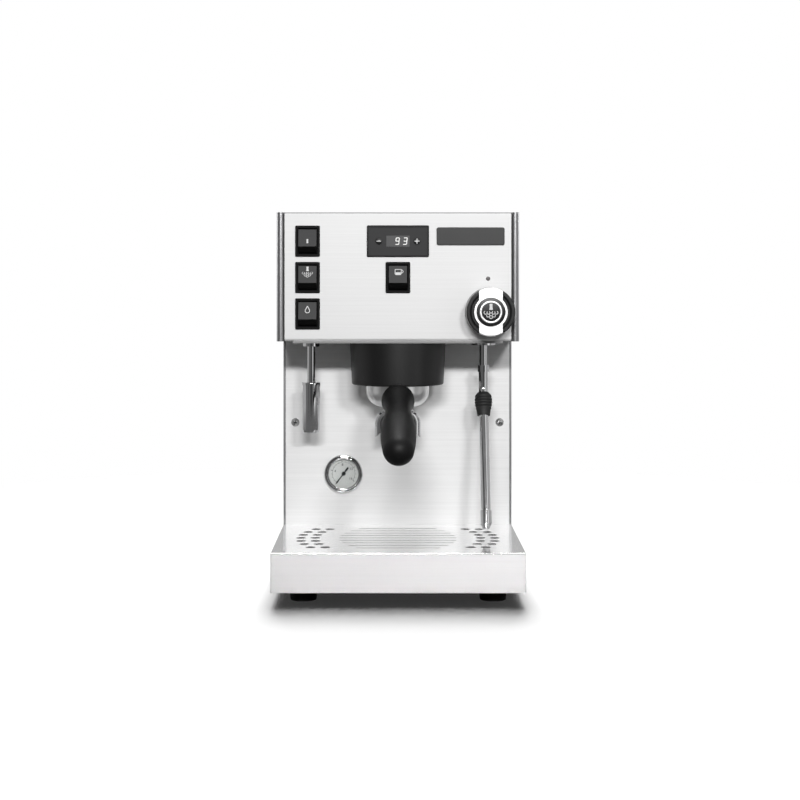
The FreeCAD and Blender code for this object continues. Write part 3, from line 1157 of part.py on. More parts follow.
def water_pump():
    """Vibration pump on its foot, with an inlet behind and an elbow in front."""
    axis_z = Z_FLOOR + PUMP_AXIS
    start = Y_PANEL + PUMP_START
    end = start + PUMP_LENGTH
    body = rod(PUMP_RADIUS, (PUMP_X, start + 1.5 * PUMP_ELBOW, axis_z), (PUMP_X, end, axis_z))
    foot = box((PUMP_X - PUMP_FOOT / 2, PUMP_X + PUMP_FOOT / 2), (start + PUMP_RADIUS, end - PUMP_RADIUS),
               (Z_FLOOR, axis_z))
    nose = rod(PUMP_RADIUS / 2, (PUMP_X, start - 1.5 * PUMP_ELBOW, axis_z), (PUMP_X, start + 2 * PUMP_ELBOW, axis_z))
    elbow = rod(PUMP_ELBOW, (PUMP_X, start, axis_z), (PUMP_X, start, axis_z + PUMP_RADIUS))
    inlet = rod(NIPPLE_RADIUS, (PUMP_X, end - 1, axis_z), (PUMP_X, end + NIPPLE_LENGTH, axis_z))
    return body.fuse([foot, nose, elbow, inlet]).removeSplitter()


def suction_hose():
    _, tank_y, _ = tank_box()
    axis_z = Z_FLOOR + PUMP_AXIS
    start = (PUMP_X, Y_PANEL + PUMP_START + PUMP_LENGTH, axis_z)
    return ring(HOSE_RADIUS, NIPPLE_RADIUS + SEAM, start, (PUMP_X, tank_y[0], axis_z))


def feed_level():
    return Z_HEAD + BOILER_HEIGHT / 3


def feed_pipe():
    y = Y_PANEL + PUMP_START
    start = (PUMP_X, y, Z_FLOOR + PUMP_AXIS + PUMP_RADIUS)
    end = (-BOILER_RADIUS - BOILER_BOSS / 3, y, feed_level())
    return pipe([start, (PUMP_X, y, feed_level()), end], FEED_RADIUS, FEED_BEND)


def coffee_boiler():
    y = Y_PANEL + BOILER_START
    low = Z_HEAD - BOILER_SINK
    flange_z = Z_HEAD_FLOOR + GROUP_FLANGE_THICK
    shell = rod(BOILER_RADIUS, (0, y, low), (0, y, low + BOILER_HEIGHT))
    cap = rod(BOILER_RADIUS + BOILER_CAP / 2, (0, y, low + BOILER_HEIGHT), (0, y, low + BOILER_HEIGHT + BOILER_CAP))
    pad = box((-ARM_WIDTH / 2 - BOILER_CAP, ARM_WIDTH / 2 + BOILER_CAP), (y - BOILER_RADIUS, y),
              (flange_z, flange_z + ARM_HEIGHT))
    pipe_y = Y_PANEL + PUMP_START
    boss = rod(BOILER_BOSS / 2, (-BOILER_RADIUS - BOILER_BOSS / 3, pipe_y, feed_level()), (0, pipe_y, feed_level()))
    return shell.fuse([cap, pad, boss]).removeSplitter()


def solenoid_valve():
    """Three-way valve standing on the group's arm."""
    low = Z_HEAD_FLOOR + GROUP_FLANGE_THICK + ARM_HEIGHT
    middle = Y_PANEL - GROUP_REACH / 2
    foot = box((-COIL_WIDTH / 3, COIL_WIDTH / 3), (middle - COIL_WIDTH / 3, middle + COIL_WIDTH / 3),
               (low, low + COIL_FOOT))
    coil = box((-COIL_WIDTH / 2, COIL_WIDTH / 2), (middle - COIL_WIDTH / 2, middle + COIL_WIDTH / 2),
               (low + COIL_FOOT, low + COIL_FOOT + COIL_HEIGHT))
    return foot.fuse(round_edges(coil, (0, 0, 1), BEND)).removeSplitter()


def steam_boiler():
    """Upright boiler on three welded legs, with the steam outlet on its lid."""
    y = Y_PANEL + STEAM_BOILER_START
    low = Z_FLOOR + STEAM_BOILER_LEG
    high = low + STEAM_BOILER_HEIGHT
    boiler = rod(STEAM_BOILER_RADIUS, (STEAM_BOILER_X, y, low), (STEAM_BOILER_X, y, high))
    pieces = [rod(STEAM_PIPE * 2, (KNOB_X, y, high - 1), (KNOB_X, y, high + STUB_HEIGHT))]
    for leg in range(3):
        angle = math.radians(90 + 120 * leg)
        x = STEAM_BOILER_X + (STEAM_BOILER_RADIUS - 2 * LEG_RADIUS) * math.cos(angle)
        leg_y = y + (STEAM_BOILER_RADIUS - 2 * LEG_RADIUS) * math.sin(angle)
        pieces.append(rod(LEG_RADIUS, (x, leg_y, Z_FLOOR), (x, leg_y, low + 1)))
    return boiler.fuse(pieces).removeSplitter()


def steam_pipe():
    y = Y_PANEL + STEAM_BOILER_START
    start = (KNOB_X, y, Z_FLOOR + STEAM_BOILER_LEG + STEAM_BOILER_HEIGHT + STUB_HEIGHT)
    end = (KNOB_X, Y_WAND + VALVE_TAIL, Z_KNOB)
    return pipe([start, (KNOB_X, y, Z_KNOB), end], STEAM_PIPE, STEAM_BEND)


def control_board():
    x = (HALF - SHEET - BOARD_THICK, HALF - SHEET)
    y = (Y_PANEL + BOARD_START, Y_PANEL + BOARD_START + BOARD_LENGTH)
    return round_edges(box(x, y, (BOARD_Z, BOARD_Z + BOARD_HEIGHT)), (1, 0, 0), BEND)


def build():
    """All pieces by name."""
    plain = [base_plate, rubber_feet, splash_panel, control_fascia, head_floor, top_cover, tank_lid, rear_panel,
             power_inlet, drip_tray, tray_grate, display_housing, display_window, steam_lamp, knob_body, knob_bridge,
             knob_cap, valve_stem, steam_valve, group_cover, group_head, group_gasket, shower_screen,
             portafilter_body, portafilter_handle, filter_basket, double_spout, hot_water_tube, hot_water_nozzle,
             wand_socket, wand_seat, wand_tube, wand_grip, wand_tip, gauge_case, gauge_dial, gauge_needle,
             gauge_glass, panel_screws, water_tank, water_pump, suction_hose, feed_pipe, coffee_boiler,
             solenoid_valve, steam_boiler, steam_pipe, control_board]
    pieces = {make.__name__: make() for make in plain}
    pieces["left_side_panel"] = side_panel()
    pieces["right_side_panel"] = mirrored(side_panel())
    pieces["minus_button"] = display_button(-BUTTON_SPREAD / 2)
    pieces["plus_button"] = display_button(BUTTON_SPREAD / 2)
    for name, (x, z) in SWITCHES.items():
        pieces[name + "_switch_housing"] = switch_housing(x, z)
        pieces[name + "_rocker"] = rocker(x, z)
    return pieces


os.makedirs("parts", exist_ok=True)
for node, shape in build().items():
    shape.exportStep(os.path.join("parts", node + ".step"))
    print(node, len(shape.Solids), "solids", shape.isValid(), round(shape.Volume / 1000, 2), "cm3")
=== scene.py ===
"""Dresses a counter-top espresso machine: finishes, printed marks, dial and studio."""

import math

import bpy
from mathutils import Matrix, Vector


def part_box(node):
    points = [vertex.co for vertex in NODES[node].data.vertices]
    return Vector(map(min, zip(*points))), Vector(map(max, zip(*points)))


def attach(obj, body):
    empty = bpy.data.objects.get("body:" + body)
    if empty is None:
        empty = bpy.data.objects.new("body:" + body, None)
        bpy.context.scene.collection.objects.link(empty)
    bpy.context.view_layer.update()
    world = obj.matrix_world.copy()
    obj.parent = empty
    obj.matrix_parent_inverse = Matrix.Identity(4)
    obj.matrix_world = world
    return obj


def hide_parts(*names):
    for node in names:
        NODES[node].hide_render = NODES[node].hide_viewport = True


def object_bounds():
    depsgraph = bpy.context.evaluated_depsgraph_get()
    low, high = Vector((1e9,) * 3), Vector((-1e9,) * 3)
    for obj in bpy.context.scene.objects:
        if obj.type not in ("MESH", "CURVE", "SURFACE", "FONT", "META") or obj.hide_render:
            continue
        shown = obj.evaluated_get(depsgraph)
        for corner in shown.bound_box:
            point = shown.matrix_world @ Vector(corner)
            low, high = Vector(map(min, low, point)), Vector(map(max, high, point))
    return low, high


bl_info = {
    "name": "Espresso Machine Dresser",
    "version": (1, 0, 0),
    "blender": (4, 5, 0),
    "location": "View3D > Sidebar > Espresso",
    "description": "Finishes, printed marks and studio for a counter-top espresso machine",
    "category": "Object",
}

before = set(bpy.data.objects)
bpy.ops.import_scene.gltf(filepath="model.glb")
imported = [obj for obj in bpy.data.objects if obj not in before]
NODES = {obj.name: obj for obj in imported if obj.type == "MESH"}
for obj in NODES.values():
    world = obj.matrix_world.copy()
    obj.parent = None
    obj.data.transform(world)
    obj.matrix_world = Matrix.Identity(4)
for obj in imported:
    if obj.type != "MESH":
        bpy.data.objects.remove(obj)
CAD_LOW, CAD_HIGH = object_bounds()
MM = 0.001
SWITCHES = ("power", "steam", "water", "brew")

# Waves per metre of the procedural finishes
GRAIN_ACROSS = 700.0
GRAIN_ALONG = 7.0
CLOUDS = (9, 9, 9)
SPARKS = (1500, 1500, 1500)

# Height of the finishes' relief
GRAIN_RELIEF = 0.4 * MM
SPARK_RELIEF = 0.3 * MM
SCRATCH_RELIEF = 0.2 * MM

PLASTIC_IOR = 1.48

# Tones round the front half of the room, from the left wall past the camera to the right wall
STRIPS = ((0.0, 0.5), (0.03, 0.12), (0.16, 0.16), (0.22, 0.07), (0.36, 0.16), (0.45, 0.04), (0.55, 0.04),
          (0.66, 0.12), (0.78, 0.12), (0.84, 0.80), (0.92, 0.90), (0.95, 0.10), (0.975, 0.08), (1.0, 0.6))
BACK_TONE = 0.42
SKY_TONE = 0.12

# Metres from the middle where the floor starts to fade, and over how far
FADE_START = 0.45
FADE_LENGTH = 0.5

# Thickness of a printed line in mm, and lines on crowned faces
FILM = 0.24
BUTTON_LINE = {"width": 1.1, "thick": 0.4, "crown": 0.054}
SLOT_LINE = {"width": 0.95, "thick": 0.5, "crown": 0.09}

# Type of the dial's numbers: font size over their height, and half their thickness
TYPE_SIZE = 1.4
TYPE_DEPTH = 0.1 * MM

# The gauge's dial in mm: radii, widths of lines and height of numbers
TICK_START = 12.6
SHORT_TICK, SHORT_WIDTH = 13.6, 0.3
LONG_TICK, LONG_WIDTH = 14.4, 0.55
ARC_RADIUS, ARC_WIDTH, ARC_STEPS = 12.4, 0.28, 40
NUMBER_RADIUS, NUMBER_HEIGHT = 9.6, 2.7

# Seven-segment figures, as shares of their height
DIGIT_HALF = 0.25
DIGIT_LINE = 0.135
DIGIT_SLANT = 0.12

# The steam sign, in its own units: the nozzle's levels and widths, and the puffs' middles
SIGN_UNITS = 14.8
SIGN_FILM = 0.5
SIGN_SOURCE = 3.0
SIGN_NOZZLE = ((8.7, 0.45), (8.4, 0.8), (7.6, 0.95), (6.4, 0.82), (5.0, 0.85), (2.3, 1.1))
SIGN_PUFFS = ((0, 0.6), (-2.6, -0.6), (0, -2.3), (2.6, -0.6), (-5.6, -0.6), (-3.0, -3.5), (0, -5.0),
              (3.0, -3.5), (5.6, -0.6))
NOZZLE_LINE = 3.6
PUFF_LINE = 0.85
PUFF_RADIUS = 1.5
PUFF_STEP = 21

# Hot water nozzle: shoulder under its collar, and the collar's rounding
SHOULDER = 0.01 * MM
COLLAR_EDGE = 0.4 * MM

# Casing screws: depth, level and rounding of a head, and its socket
HEAD_DEPTH = 1.0 * MM
HEAD_LEVEL = -0.45 * MM
HEAD_EDGE = 0.04 * MM
SOCKET_RIM = 0.5
SOCKET_DEPTH = 0.6 * MM


def middle(node):
    """Middle of a CAD node's box."""
    low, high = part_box(node)
    return (low + high) / 2


PANEL_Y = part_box("splash_panel")[0].y
FASCIA_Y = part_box("control_fascia")[0].y


# Shader building

class Wire:
    """A socket that takes part in Python arithmetic by adding Math nodes."""

    def __init__(self, finish, socket):
        self.finish = finish
        self.socket = socket

    def _math(self, operation, first, second=None):
        sockets = {0: first} if second is None else {0: first, 1: second}
        return self.finish.node("ShaderNodeMath", {"operation": operation}, sockets)

    def __add__(self, other):
        return self._math("ADD", self, other)

    __radd__ = __add__

    def __sub__(self, other):
        return self._math("SUBTRACT", self, other)

    def __rsub__(self, other):
        return self._math("SUBTRACT", other, self)

    def __mul__(self, other):
        return self._math("MULTIPLY", self, other)

    __rmul__ = __mul__

    def __truediv__(self, other):
        return self._math("DIVIDE", self, other)

    def __pow__(self, other):
        return self._math("POWER", self, other)

    def __gt__(self, other):
        return self._math("GREATER_THAN", self, other)

    def __lt__(self, other):
        return self._math("LESS_THAN", self, other)

    def max(self, other):
        return self._math("MAXIMUM", self, other)

    def min(self, other):
        return self._math("MINIMUM", self, other)


class Finish:
    """One node tree: a material's or the world's."""

    def __init__(self, tree, output_type):
        self.tree = tree
        tree.nodes.clear()
        self.output = tree.nodes.new(output_type)

    def node(self, kind, settings=None, sockets=None, out=0):
        """Add a node, set its settings, then its sockets, and return one of its outputs."""
        made = self.tree.nodes.new(kind)
        for key, value in (settings or {}).items():
            if key == "stops":
                self._set_stops(made.color_ramp, value)
            else:
                setattr(made, key, value)
        for key, value in (sockets or {}).items():
            if isinstance(value, Wire):
                self.tree.links.new(value.socket, made.inputs[key])
            else:
                made.inputs[key].default_value = value
        return Wire(self, made.outputs[out])

    @staticmethod
    def _set_stops(ramp, stops):
        while len(ramp.elements) < len(stops):
            ramp.elements.new(1.0)
        for element, (place, colour) in zip(ramp.elements, stops):
            element.position = place
            element.color = colour

    def coords(self, scale=(1, 1, 1)):
        """Object coordinates in metres, scaled."""
        place = self.node("ShaderNodeTexCoord", out="Object")
        return self.node("ShaderNodeMapping", sockets={"Vector": place, "Scale": scale})

    def part(self, vector, axis):
        """One of a vector's three numbers."""
        return self.node("ShaderNodeSeparateXYZ", sockets={0: vector}, out=axis)

    def level(self, value):
        """A grey as bright as a number says."""
        return self.node("ShaderNodeCombineColor", sockets={0: value, 1: value, 2: value})

    def noise(self, scale, detail=2.0, roughness=0.5):
        """Noise with so many waves per metre along each axis."""
        return self.node("ShaderNodeTexNoise", sockets={
            "Vector": self.coords(scale), "Scale": 1.0, "Detail": detail, "Roughness": roughness})

    def grain(self, fine, long):
        """Brushed grain: fine lines over longer ones."""
        return self.noise(fine, 3.0, 0.6) * 0.65 + self.noise(long) * 0.35

    def mix(self, factor, first, second):
        """Blend of two colours."""
        return self.node("ShaderNodeMix", {"data_type": "RGBA"}, {0: factor, 6: first, 7: second}, out=2)

    def bump(self, height, strength, distance):
        """Normal that follows a height."""
        return self.node("ShaderNodeBump", sockets={
            "Strength": strength, "Distance": distance, "Height": height})

    def surface(self, sockets):
        """Finish the tree with a principled surface."""
        self.close(self.node("ShaderNodeBsdfPrincipled", sockets=sockets))

    def close(self, shader):
        """Lead a shader to the tree's output."""
        self.tree.links.new(shader.socket, self.output.inputs["Surface"])


def new_finish(name):
    """A new material and its empty node tree."""
    material = bpy.data.materials.new(name)
    material.use_nodes = True
    return material, Finish(material.node_tree, "ShaderNodeOutputMaterial")


def grey(value):
    """A grey colour."""
    return (value, value, value, 1.0)


def tinted(colour, factor):
    """A colour made lighter or darker."""
    return tuple(min(1.0, channel * factor) for channel in colour[:3]) + (1.0,)


def brushed_steel(name, colour, roughness, grain=1.0, metal=1.0, fold_shade_heights=None):
    """Stainless sheet brushed along X; below and above the given fold heights it is darker, as painted shade.
    """
    material, make = new_finish(name)
    scale = (GRAIN_ALONG, GRAIN_ACROSS, GRAIN_ACROSS)
    fine = make.grain(scale, [waves * 0.3 for waves in scale])
    broad = make.noise(CLOUDS)
    streak = (fine - 0.5) * grain
    dull, bright = tinted(colour, 1.0 - 0.14 * grain), tinted(colour, 1.0 + 0.12 * grain)
    shade = make.mix(fine * 0.8 + broad * 0.2, dull, bright)
    # Painted shade: darker below the low fold height and above the high one, where the fascia bends
    if fold_shade_heights:
        height = make.part(make.coords(), "Z")
        shade = make.mix((height < fold_shade_heights[0]).max(height > fold_shade_heights[1]), shade, tinted(colour, 0.38))
    make.surface({"Base Color": shade, "Metallic": metal,
                  "Roughness": streak * 0.12 + (broad - 0.5) * 0.06 + roughness,
                  "Normal": make.bump(fine, 0.02 * grain, GRAIN_RELIEF)})
    return material


def posted_steel(name, colour, post):
    """Side sheet brushed along Y, whose rounded front post is darker and smoother; its faces that look to the
    front are darkened the same way, as painted shade.
    """
    material, make = new_finish(name)
    fine = make.grain((GRAIN_ACROSS, GRAIN_ALONG, GRAIN_ACROSS), (210, 2, 210))
    upright = make.noise((900, 900, 9), 3.0, 0.6)
    broad = make.noise(CLOUDS)
    depth = make.part(make.coords(), "Y")
    facing = make.part(make.node("ShaderNodeNewGeometry", out="Normal"), "Y")
    # Faces that look to the front, such as the sheets' front edges, take the post's darker colour: painted
    # shade at the edges
    post_or_shaded_edge = (depth < FASCIA_Y + finishes().post_depth).max(facing < -0.7)
    sheet = make.mix(fine * 0.8 + broad * 0.2, tinted(colour, 0.86), tinted(colour, 1.12))
    dark = make.mix(upright, tinted(post, 0.85), tinted(post, 1.2))
    rough = (fine - 0.5) * 0.16 + (broad - 0.5) * 0.06 + finishes().steel_roughness
    smooth = (upright - 0.5) * 0.1 + 0.40
    make.surface({"Base Color": make.mix(post_or_shaded_edge, sheet, dark),
                  "Metallic": post_or_shaded_edge * (1.0 - finishes().metal) + finishes().metal,
                  "Roughness": rough * (1.0 - post_or_shaded_edge) + smooth * post_or_shaded_edge,
                  "Normal": make.bump(fine, 0.05, GRAIN_RELIEF)})
    return material


def bright_metal(name, colour, roughness):
    """Polished metal with faint handling marks."""
    material, make = new_finish(name)
    smudge = make.noise((60, 60, 60), 3.0)
    scratch = make.noise((900, 900, 40))
    make.surface({"Base Color": make.mix(smudge, tinted(colour, 0.96), tinted(colour, 1.03)), "Metallic": 1.0,
                  "Roughness": (smudge - 0.5) * 0.06 + (scratch - 0.5) * 0.03 + roughness,
                  "Normal": make.bump(scratch, 0.02, SCRATCH_RELIEF)})
    return material


def moulded(name, colour, roughness, texture=1.0, shine=0.5, rim=None):
    """Moulded plastic or rubber with a fine spark-eroded texture; a raised rim is darker."""
    material, make = new_finish(name)
    spark = make.noise(SPARKS)
    cloud = make.noise((25, 25, 25))
    shade = make.mix(spark * 0.6 + cloud * 0.4, tinted(colour, 0.85), tinted(colour, 1.15))
    if rim is not None:
        shade = make.mix(make.part(make.coords(), "Y") < rim, shade, tinted(colour, 0.3))
    make.surface({"Base Color": shade, "IOR": PLASTIC_IOR, "Specular IOR Level": shine,
                  "Roughness": (spark - 0.5) * 0.12 + (cloud - 0.5) * 0.08 + roughness,
                  "Normal": make.bump(spark, 0.12 * texture, SPARK_RELIEF)})
    return material


def rocker_plastic(name, colour):
    """Textured upper faces; the faces that look down are smooth and painted black, as shade."""
    material, make = new_finish(name)
    spark = make.noise(SPARKS)
    # Faces that look down are painted near black: painted shade below the rocker's ridge
    out_of_painted_shade = make.part(make.node("ShaderNodeNewGeometry", out="Normal"), "Z") > -0.05
    grained = make.mix(spark, tinted(colour, 0.75), tinted(colour, 1.25))
    make.surface({"Base Color": make.mix(out_of_painted_shade, grey(0.0005), grained), "IOR": PLASTIC_IOR,
                  "Specular IOR Level": 0.2, "Roughness": (spark - 0.5) * 0.15 + 0.5,
                  "Normal": make.bump(spark, 0.2, SPARK_RELIEF)})
    return material


def printed(name, colour, glow=0.0):
    """Screen-printed ink, slightly uneven."""
    material, make = new_finish(name)
    spread = make.noise((1800, 1800, 1800))
    shade = make.mix(spread, tinted(colour, 0.94), tinted(colour, 1.0))
    sockets = {"Base Color": shade, "Roughness": spread * 0.1 + 0.45}
    if glow:
        sockets.update({"Emission Color": shade, "Emission Strength": glow})
    make.surface(sockets)
    return material


def clear_glass(name, tint):
    """Thin clear pane that lets light through without bending it."""
    material, make = new_finish(name)
    haze = make.noise((40, 40, 40))
    gloss = make.node("ShaderNodeBsdfGlossy", sockets={"Color": grey(1.0), "Roughness": haze * 0.03 + 0.02})
    through = make.node("ShaderNodeBsdfTransparent", sockets={"Color": tint})
    edge = make.node("ShaderNodeFresnel", sockets={"IOR": 1.3})
    make.close(make.node("ShaderNodeMixShader", sockets={0: edge, 1: through, 2: gloss}))
    return material


def dress(nodes, material):
    """Give CAD nodes a finish."""
    for name in nodes:
        mesh = NODES[name].data
        mesh.materials.clear()
        mesh.materials.append(material)


# Settings

def number_prop(name, description, default, **more):
    """A setting that is a number."""
    return bpy.props.FloatProperty(name=name, description=description, default=default, **more)


def length_prop(name, description, default):
    """A setting in metres."""
    return number_prop(name, description, default, unit="LENGTH")


def angle_prop(name, description, degrees):
    """A setting that is an angle."""
    return number_prop(name, description, math.radians(degrees), subtype="ANGLE")


def colour_prop(name, description, default):
    """A setting that is a colour."""
    return bpy.props.FloatVectorProperty(name=name, description=description, default=default, subtype="COLOR")


class StudioSettings(bpy.types.PropertyGroup):
    """Camera and light."""

    camera_distance: length_prop("Camera distance", "Camera to the splash panel's face", 1.6)
    camera_height: length_prop("Camera height", "Camera above the ground", 0.312)
    camera_aside: length_prop("Camera aside", "Camera to the right of the middle", -0.0075)
    lens: number_prop("Lens", "Focal length on a 36 mm sensor", 65.66)
    shift_x: number_prop("Shift X", "Sideways lens shift", 0.0117)
    shift_y: number_prop("Shift Y", "Vertical lens shift", -0.14)
    key_lamp: number_prop("Key lamp", "Power of the lamp over the camera", 19.0)
    side_lamp: number_prop("Side lamp", "Power of the lamp on the right", 7.8)
    round_lamp: number_prop("Round lamps", "Power of the lamps at the sides and the back", 25.0)
    high_lamp: number_prop("High lamp", "Strength of the high lamp", 1.6)
    high_tilt: angle_prop("High lamp tilt", "How far the high lamp leans back", 15.5)
    high_spread: angle_prop("High lamp spread", "Softness of the high lamp", 30)
    floor_lamp: number_prop("Floor lamps", "Light that reaches the floor", 4.0)
    floor_tilt: angle_prop("Floor lamp tilt", "How far the floor's lamps lean back", 45)
    floor_spread: angle_prop("Floor lamp spread", "Softness of the floor's lamps", 32)
    floor_step: angle_prop("Floor lamp step", "Turn between the floor's lamps", 18)
    floor_glow: number_prop("Floor glow", "Least brightness of the floor in shadow", 0.03)
    tray_lamp: number_prop("Tray lamp", "Strength of the small lamp right of the tray", 0.085)
    fill: number_prop("Fill", "Even light on matte surfaces", 0.035)
    floor_tone: number_prop("Floor tone", "Brightness of the floor", 0.05)
    floor_lift: number_prop("Floor lift", "Added where the camera sees it", 0.78)
    floor_mirror: number_prop("Floor mirror", "Added in reflections", 0.05)


class FinishSettings(bpy.types.PropertyGroup):
    """Colours and roughness of the finishes."""

    steel: colour_prop("Steel", "Colour of the stainless casing", (0.80, 0.80, 0.80))
    steel_roughness: number_prop("Steel roughness", "Roughness of the brushed casing", 0.68)
    metal: number_prop("Metal", "How mirror-like the brushed casing is", 0.6)
    tray_roughness: number_prop("Tray roughness", "Roughness of the polished grate", 0.13)
    chrome: colour_prop("Chrome", "Colour of the bright metal", (0.78, 0.78, 0.79))
    plastic: colour_prop("Black plastic", "Colour of the black mouldings", (0.007, 0.007, 0.0072))
    rocker: colour_prop("Rocker", "Colour of the rockers", (0.055, 0.055, 0.056))
    trim: colour_prop("Post", "Colour of the posts beside the fascia", (0.26, 0.26, 0.265))
    # Height of the fascia's top fold that gets painted shade
    fold: length_prop("Fold", "Height of the darker fold at the fascia's top", 1.1 * MM)
    post_depth: length_prop("Post depth", "Fascia's face to the post's back", 9.0 * MM)


class MarkSettings(bpy.types.PropertyGroup):
    """Sizes and places of the plate and the printed marks."""

    rocker_ridge_drop: length_prop("Ridge drop", "Rocker's ridge below the switch's middle", 5.6 * MM)
    rocker_ridge_proud: length_prop("Rocker ridge", "Rocker's ridge in front of the fascia", 5.2 * MM)
    rocker_top_proud: length_prop("Rocker top", "Rocker's top edge in front of the fascia", 1.6 * MM)
    reading: bpy.props.StringProperty(name="Reading", description="Temperature shown", default="93")
    digit_height: number_prop("Digit height", "Height of a digit in mm", 6.7)
    digit_pitch: number_prop("Digit pitch", "From digit to digit in mm", 8.0)
    digit_shift: number_prop("Digit shift", "Digits right of the middle in mm", 3.5)
    plate_width: length_prop("Plate width", "Bare plate", 70.0 * MM)
    plate_height: length_prop("Plate height", "Bare plate", 18.5 * MM)
    plate_thickness: length_prop("Plate thickness", "Bare plate", 1.2 * MM)
    plate_corner: length_prop("Plate corner", "Radius of the corners", 2.0 * MM)
    plate_edge: length_prop("Plate edge", "Rounding of the front edge", 0.35 * MM)
    plate_border: length_prop("Plate border", "Raised border", 0.9 * MM)
    plate_sink: length_prop("Plate sink", "Field behind the border", 0.15 * MM)
    plate_x: length_prop("Plate aside", "Plate's middle right of the fascia's", 74.8 * MM)
    plate_z: length_prop("Plate level", "Plate's middle above the ground", 365.2 * MM)
    knob_ring: length_prop("Knob ring", "Radius of the bright ring on the cap", 10.4 * MM)
    knob_wire: length_prop("Knob wire", "Radius of the ring's wire", 1.2 * MM)
    knob_sign: number_prop("Knob sign", "Width of the knob's sign in mm", 14.8)
    crown_drop: length_prop("Crown drop", "Cap's face at the ring behind its middle", 0.35 * MM)
    nozzle_step: length_prop("Nozzle step", "Nozzle's collar proud of its body", 0.45 * MM)
    nozzle_collar: length_prop("Nozzle collar", "Height of the nozzle's collar", 3.0 * MM)
    nozzle_chamfer: length_prop("Nozzle chamfer", "Height of the nozzle's chamfer", 3.6 * MM)
    nozzle_bore: length_prop("Nozzle bore", "Radius of the nozzle's bore", 6.0 * MM)
    screw_radius: length_prop("Screw head", "Radius of the casing's screws", 3.6 * MM)
    screw_inset: length_prop("Screw inset", "Edge of a panel to its screws", 12.0 * MM)
    lip_radius: length_prop("Gauge lip", "Radius of the lip on the gauge's glass", 17.3 * MM)
    lip_wire: length_prop("Lip wire", "Radius of the lip's wire", 1.15 * MM)
    dial_zero: number_prop("Dial zero", "Degrees from twelve", 217.0)
    dial_sweep: number_prop("Dial sweep", "Degrees from end to end", 270.0)
    dial_steps: bpy.props.IntProperty(name="Dial steps", description="Numbered steps", default=4)
    dial_fine: bpy.props.IntProperty(name="Fine steps", description="Ticks in a numbered step", default=4)
    dial_unit: bpy.props.IntProperty(name="Dial unit", description="Value of a numbered step", default=4)


# Modelling

def select_only(*pieces):
    """Select pieces and nothing else; the first one becomes active."""
    bpy.ops.object.select_all(action="DESELECT")
    for piece in pieces:
        piece.select_set(True)
    if pieces:
        bpy.context.view_layer.objects.active = pieces[0]


def fresh(kind, name, **settings):
    """Add a primitive on its own, with its name."""
    select_only()
    getattr(bpy.ops.mesh, "primitive_" + kind + "_add")(**settings)
    made = bpy.context.object
    made.name = name
    return made


def pick_faces(piece, test):
    """In edit mode, select the faces whose middle and normal pass a test."""
    bpy.ops.mesh.select_mode(type="FACE")
    bpy.ops.mesh.select_all(action="DESELECT")
    bpy.ops.object.mode_set(mode="OBJECT")
    for face in piece.data.polygons:
        face.select = test(face.center, face.normal)
    bpy.ops.object.mode_set(mode="EDIT")


def pick_edges(piece, test):
    """In edit mode, select the edges whose run passes a test."""
    bpy.ops.mesh.select_mode(type="EDGE")
    bpy.ops.mesh.select_all(action="DESELECT")
    bpy.ops.object.mode_set(mode="OBJECT")
    points = piece.data.vertices
    for edge in piece.data.edges:
        first, second = edge.vertices
        edge.select = test(points[second].co - points[first].co)
    bpy.ops.object.mode_set(mode="EDIT")


def frame_at(origin, across=(1, 0, 0), into=(0, 1, 0), up=(0, 0, 1)):
    """Matrix that sets a flat mark's own axes at a place."""
    turn = Matrix((across, into, up)).transposed().to_4x4()
    return Matrix.Translation(Vector(origin)) @ turn


def front_of(node, back=0.0):
    """Frame at the middle of a CAD node's front, or so far behind it."""
    centre = middle(node)
    return frame_at((centre.x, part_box(node)[0].y + back, centre.z))


def settle(piece, place, body, material):
    """Put a piece in place, dress it and let it ride on a body."""
    select_only(piece)
    piece.matrix_world = place
    bpy.ops.object.transform_apply()
    piece.data.materials.clear()
    piece.data.materials.append(material)
    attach(piece, body)


def stroke(points, width, thick=FILM, spread=None, crown=0.0):
    """Printed line of a width through (across, up) points, in mm, flattened to a film.

    A spread widens the line from point to point; a crown is how far a face falls back 1 mm from its middle.
    """
    line = bpy.data.curves.new("line", "CURVE")
    line.dimensions = "3D"
    line.bevel_depth = width * MM / 2
    line.bevel_resolution = 3
    line.use_fill_caps = True
    run = line.splines.new("POLY")
    run.points.add(len(points) - 1)
    for index, (point, (across, up)) in enumerate(zip(run.points, points)):
        fall = crown * (across ** 2 + up ** 2) * width / thick
        point.co = (across * MM, fall * MM, up * MM, 1)
        point.radius = spread[index] if spread else 1.0
    made = bpy.data.objects.new("line", line)
    bpy.context.scene.collection.objects.link(made)
    return to_mesh(made, scale=(1, thick / width, 1))


def figures(text, height, middle_at):
    """A number as a mesh, in mm, around a point."""
    bpy.ops.object.text_add(rotation=(math.pi / 2, 0, 0))
    made = bpy.context.object
    made.data.body = text
    made.data.size = height * TYPE_SIZE * MM
    made.data.align_x = "CENTER"
    made.data.align_y = "CENTER"
    made.data.extrude = TYPE_DEPTH
    return to_mesh(made, (middle_at[0] * MM, 0, middle_at[1] * MM))


def to_mesh(made, place=(0, 0, 0), scale=(1, 1, 1)):
    """Turn a curve or a text into a mesh, moved and scaled."""
    select_only(made)
    bpy.ops.object.convert(target="MESH")
    made = bpy.context.object
    made.location = place
    made.scale = scale
    bpy.ops.object.transform_apply()
    return made


def join(parts, name):
    """Join meshes into one piece."""
    select_only(*parts)
    if len(parts) > 1:
        bpy.ops.object.join()
    piece = bpy.context.object
    piece.name = name
    piece.data.name = name
    return piece


def extrude(across=0.0, into=0.0, up=0.0):
    """Extrude the selected faces by a step."""
    bpy.ops.mesh.extrude_region_move(TRANSFORM_OT_translate={"value": (across, into, up)})


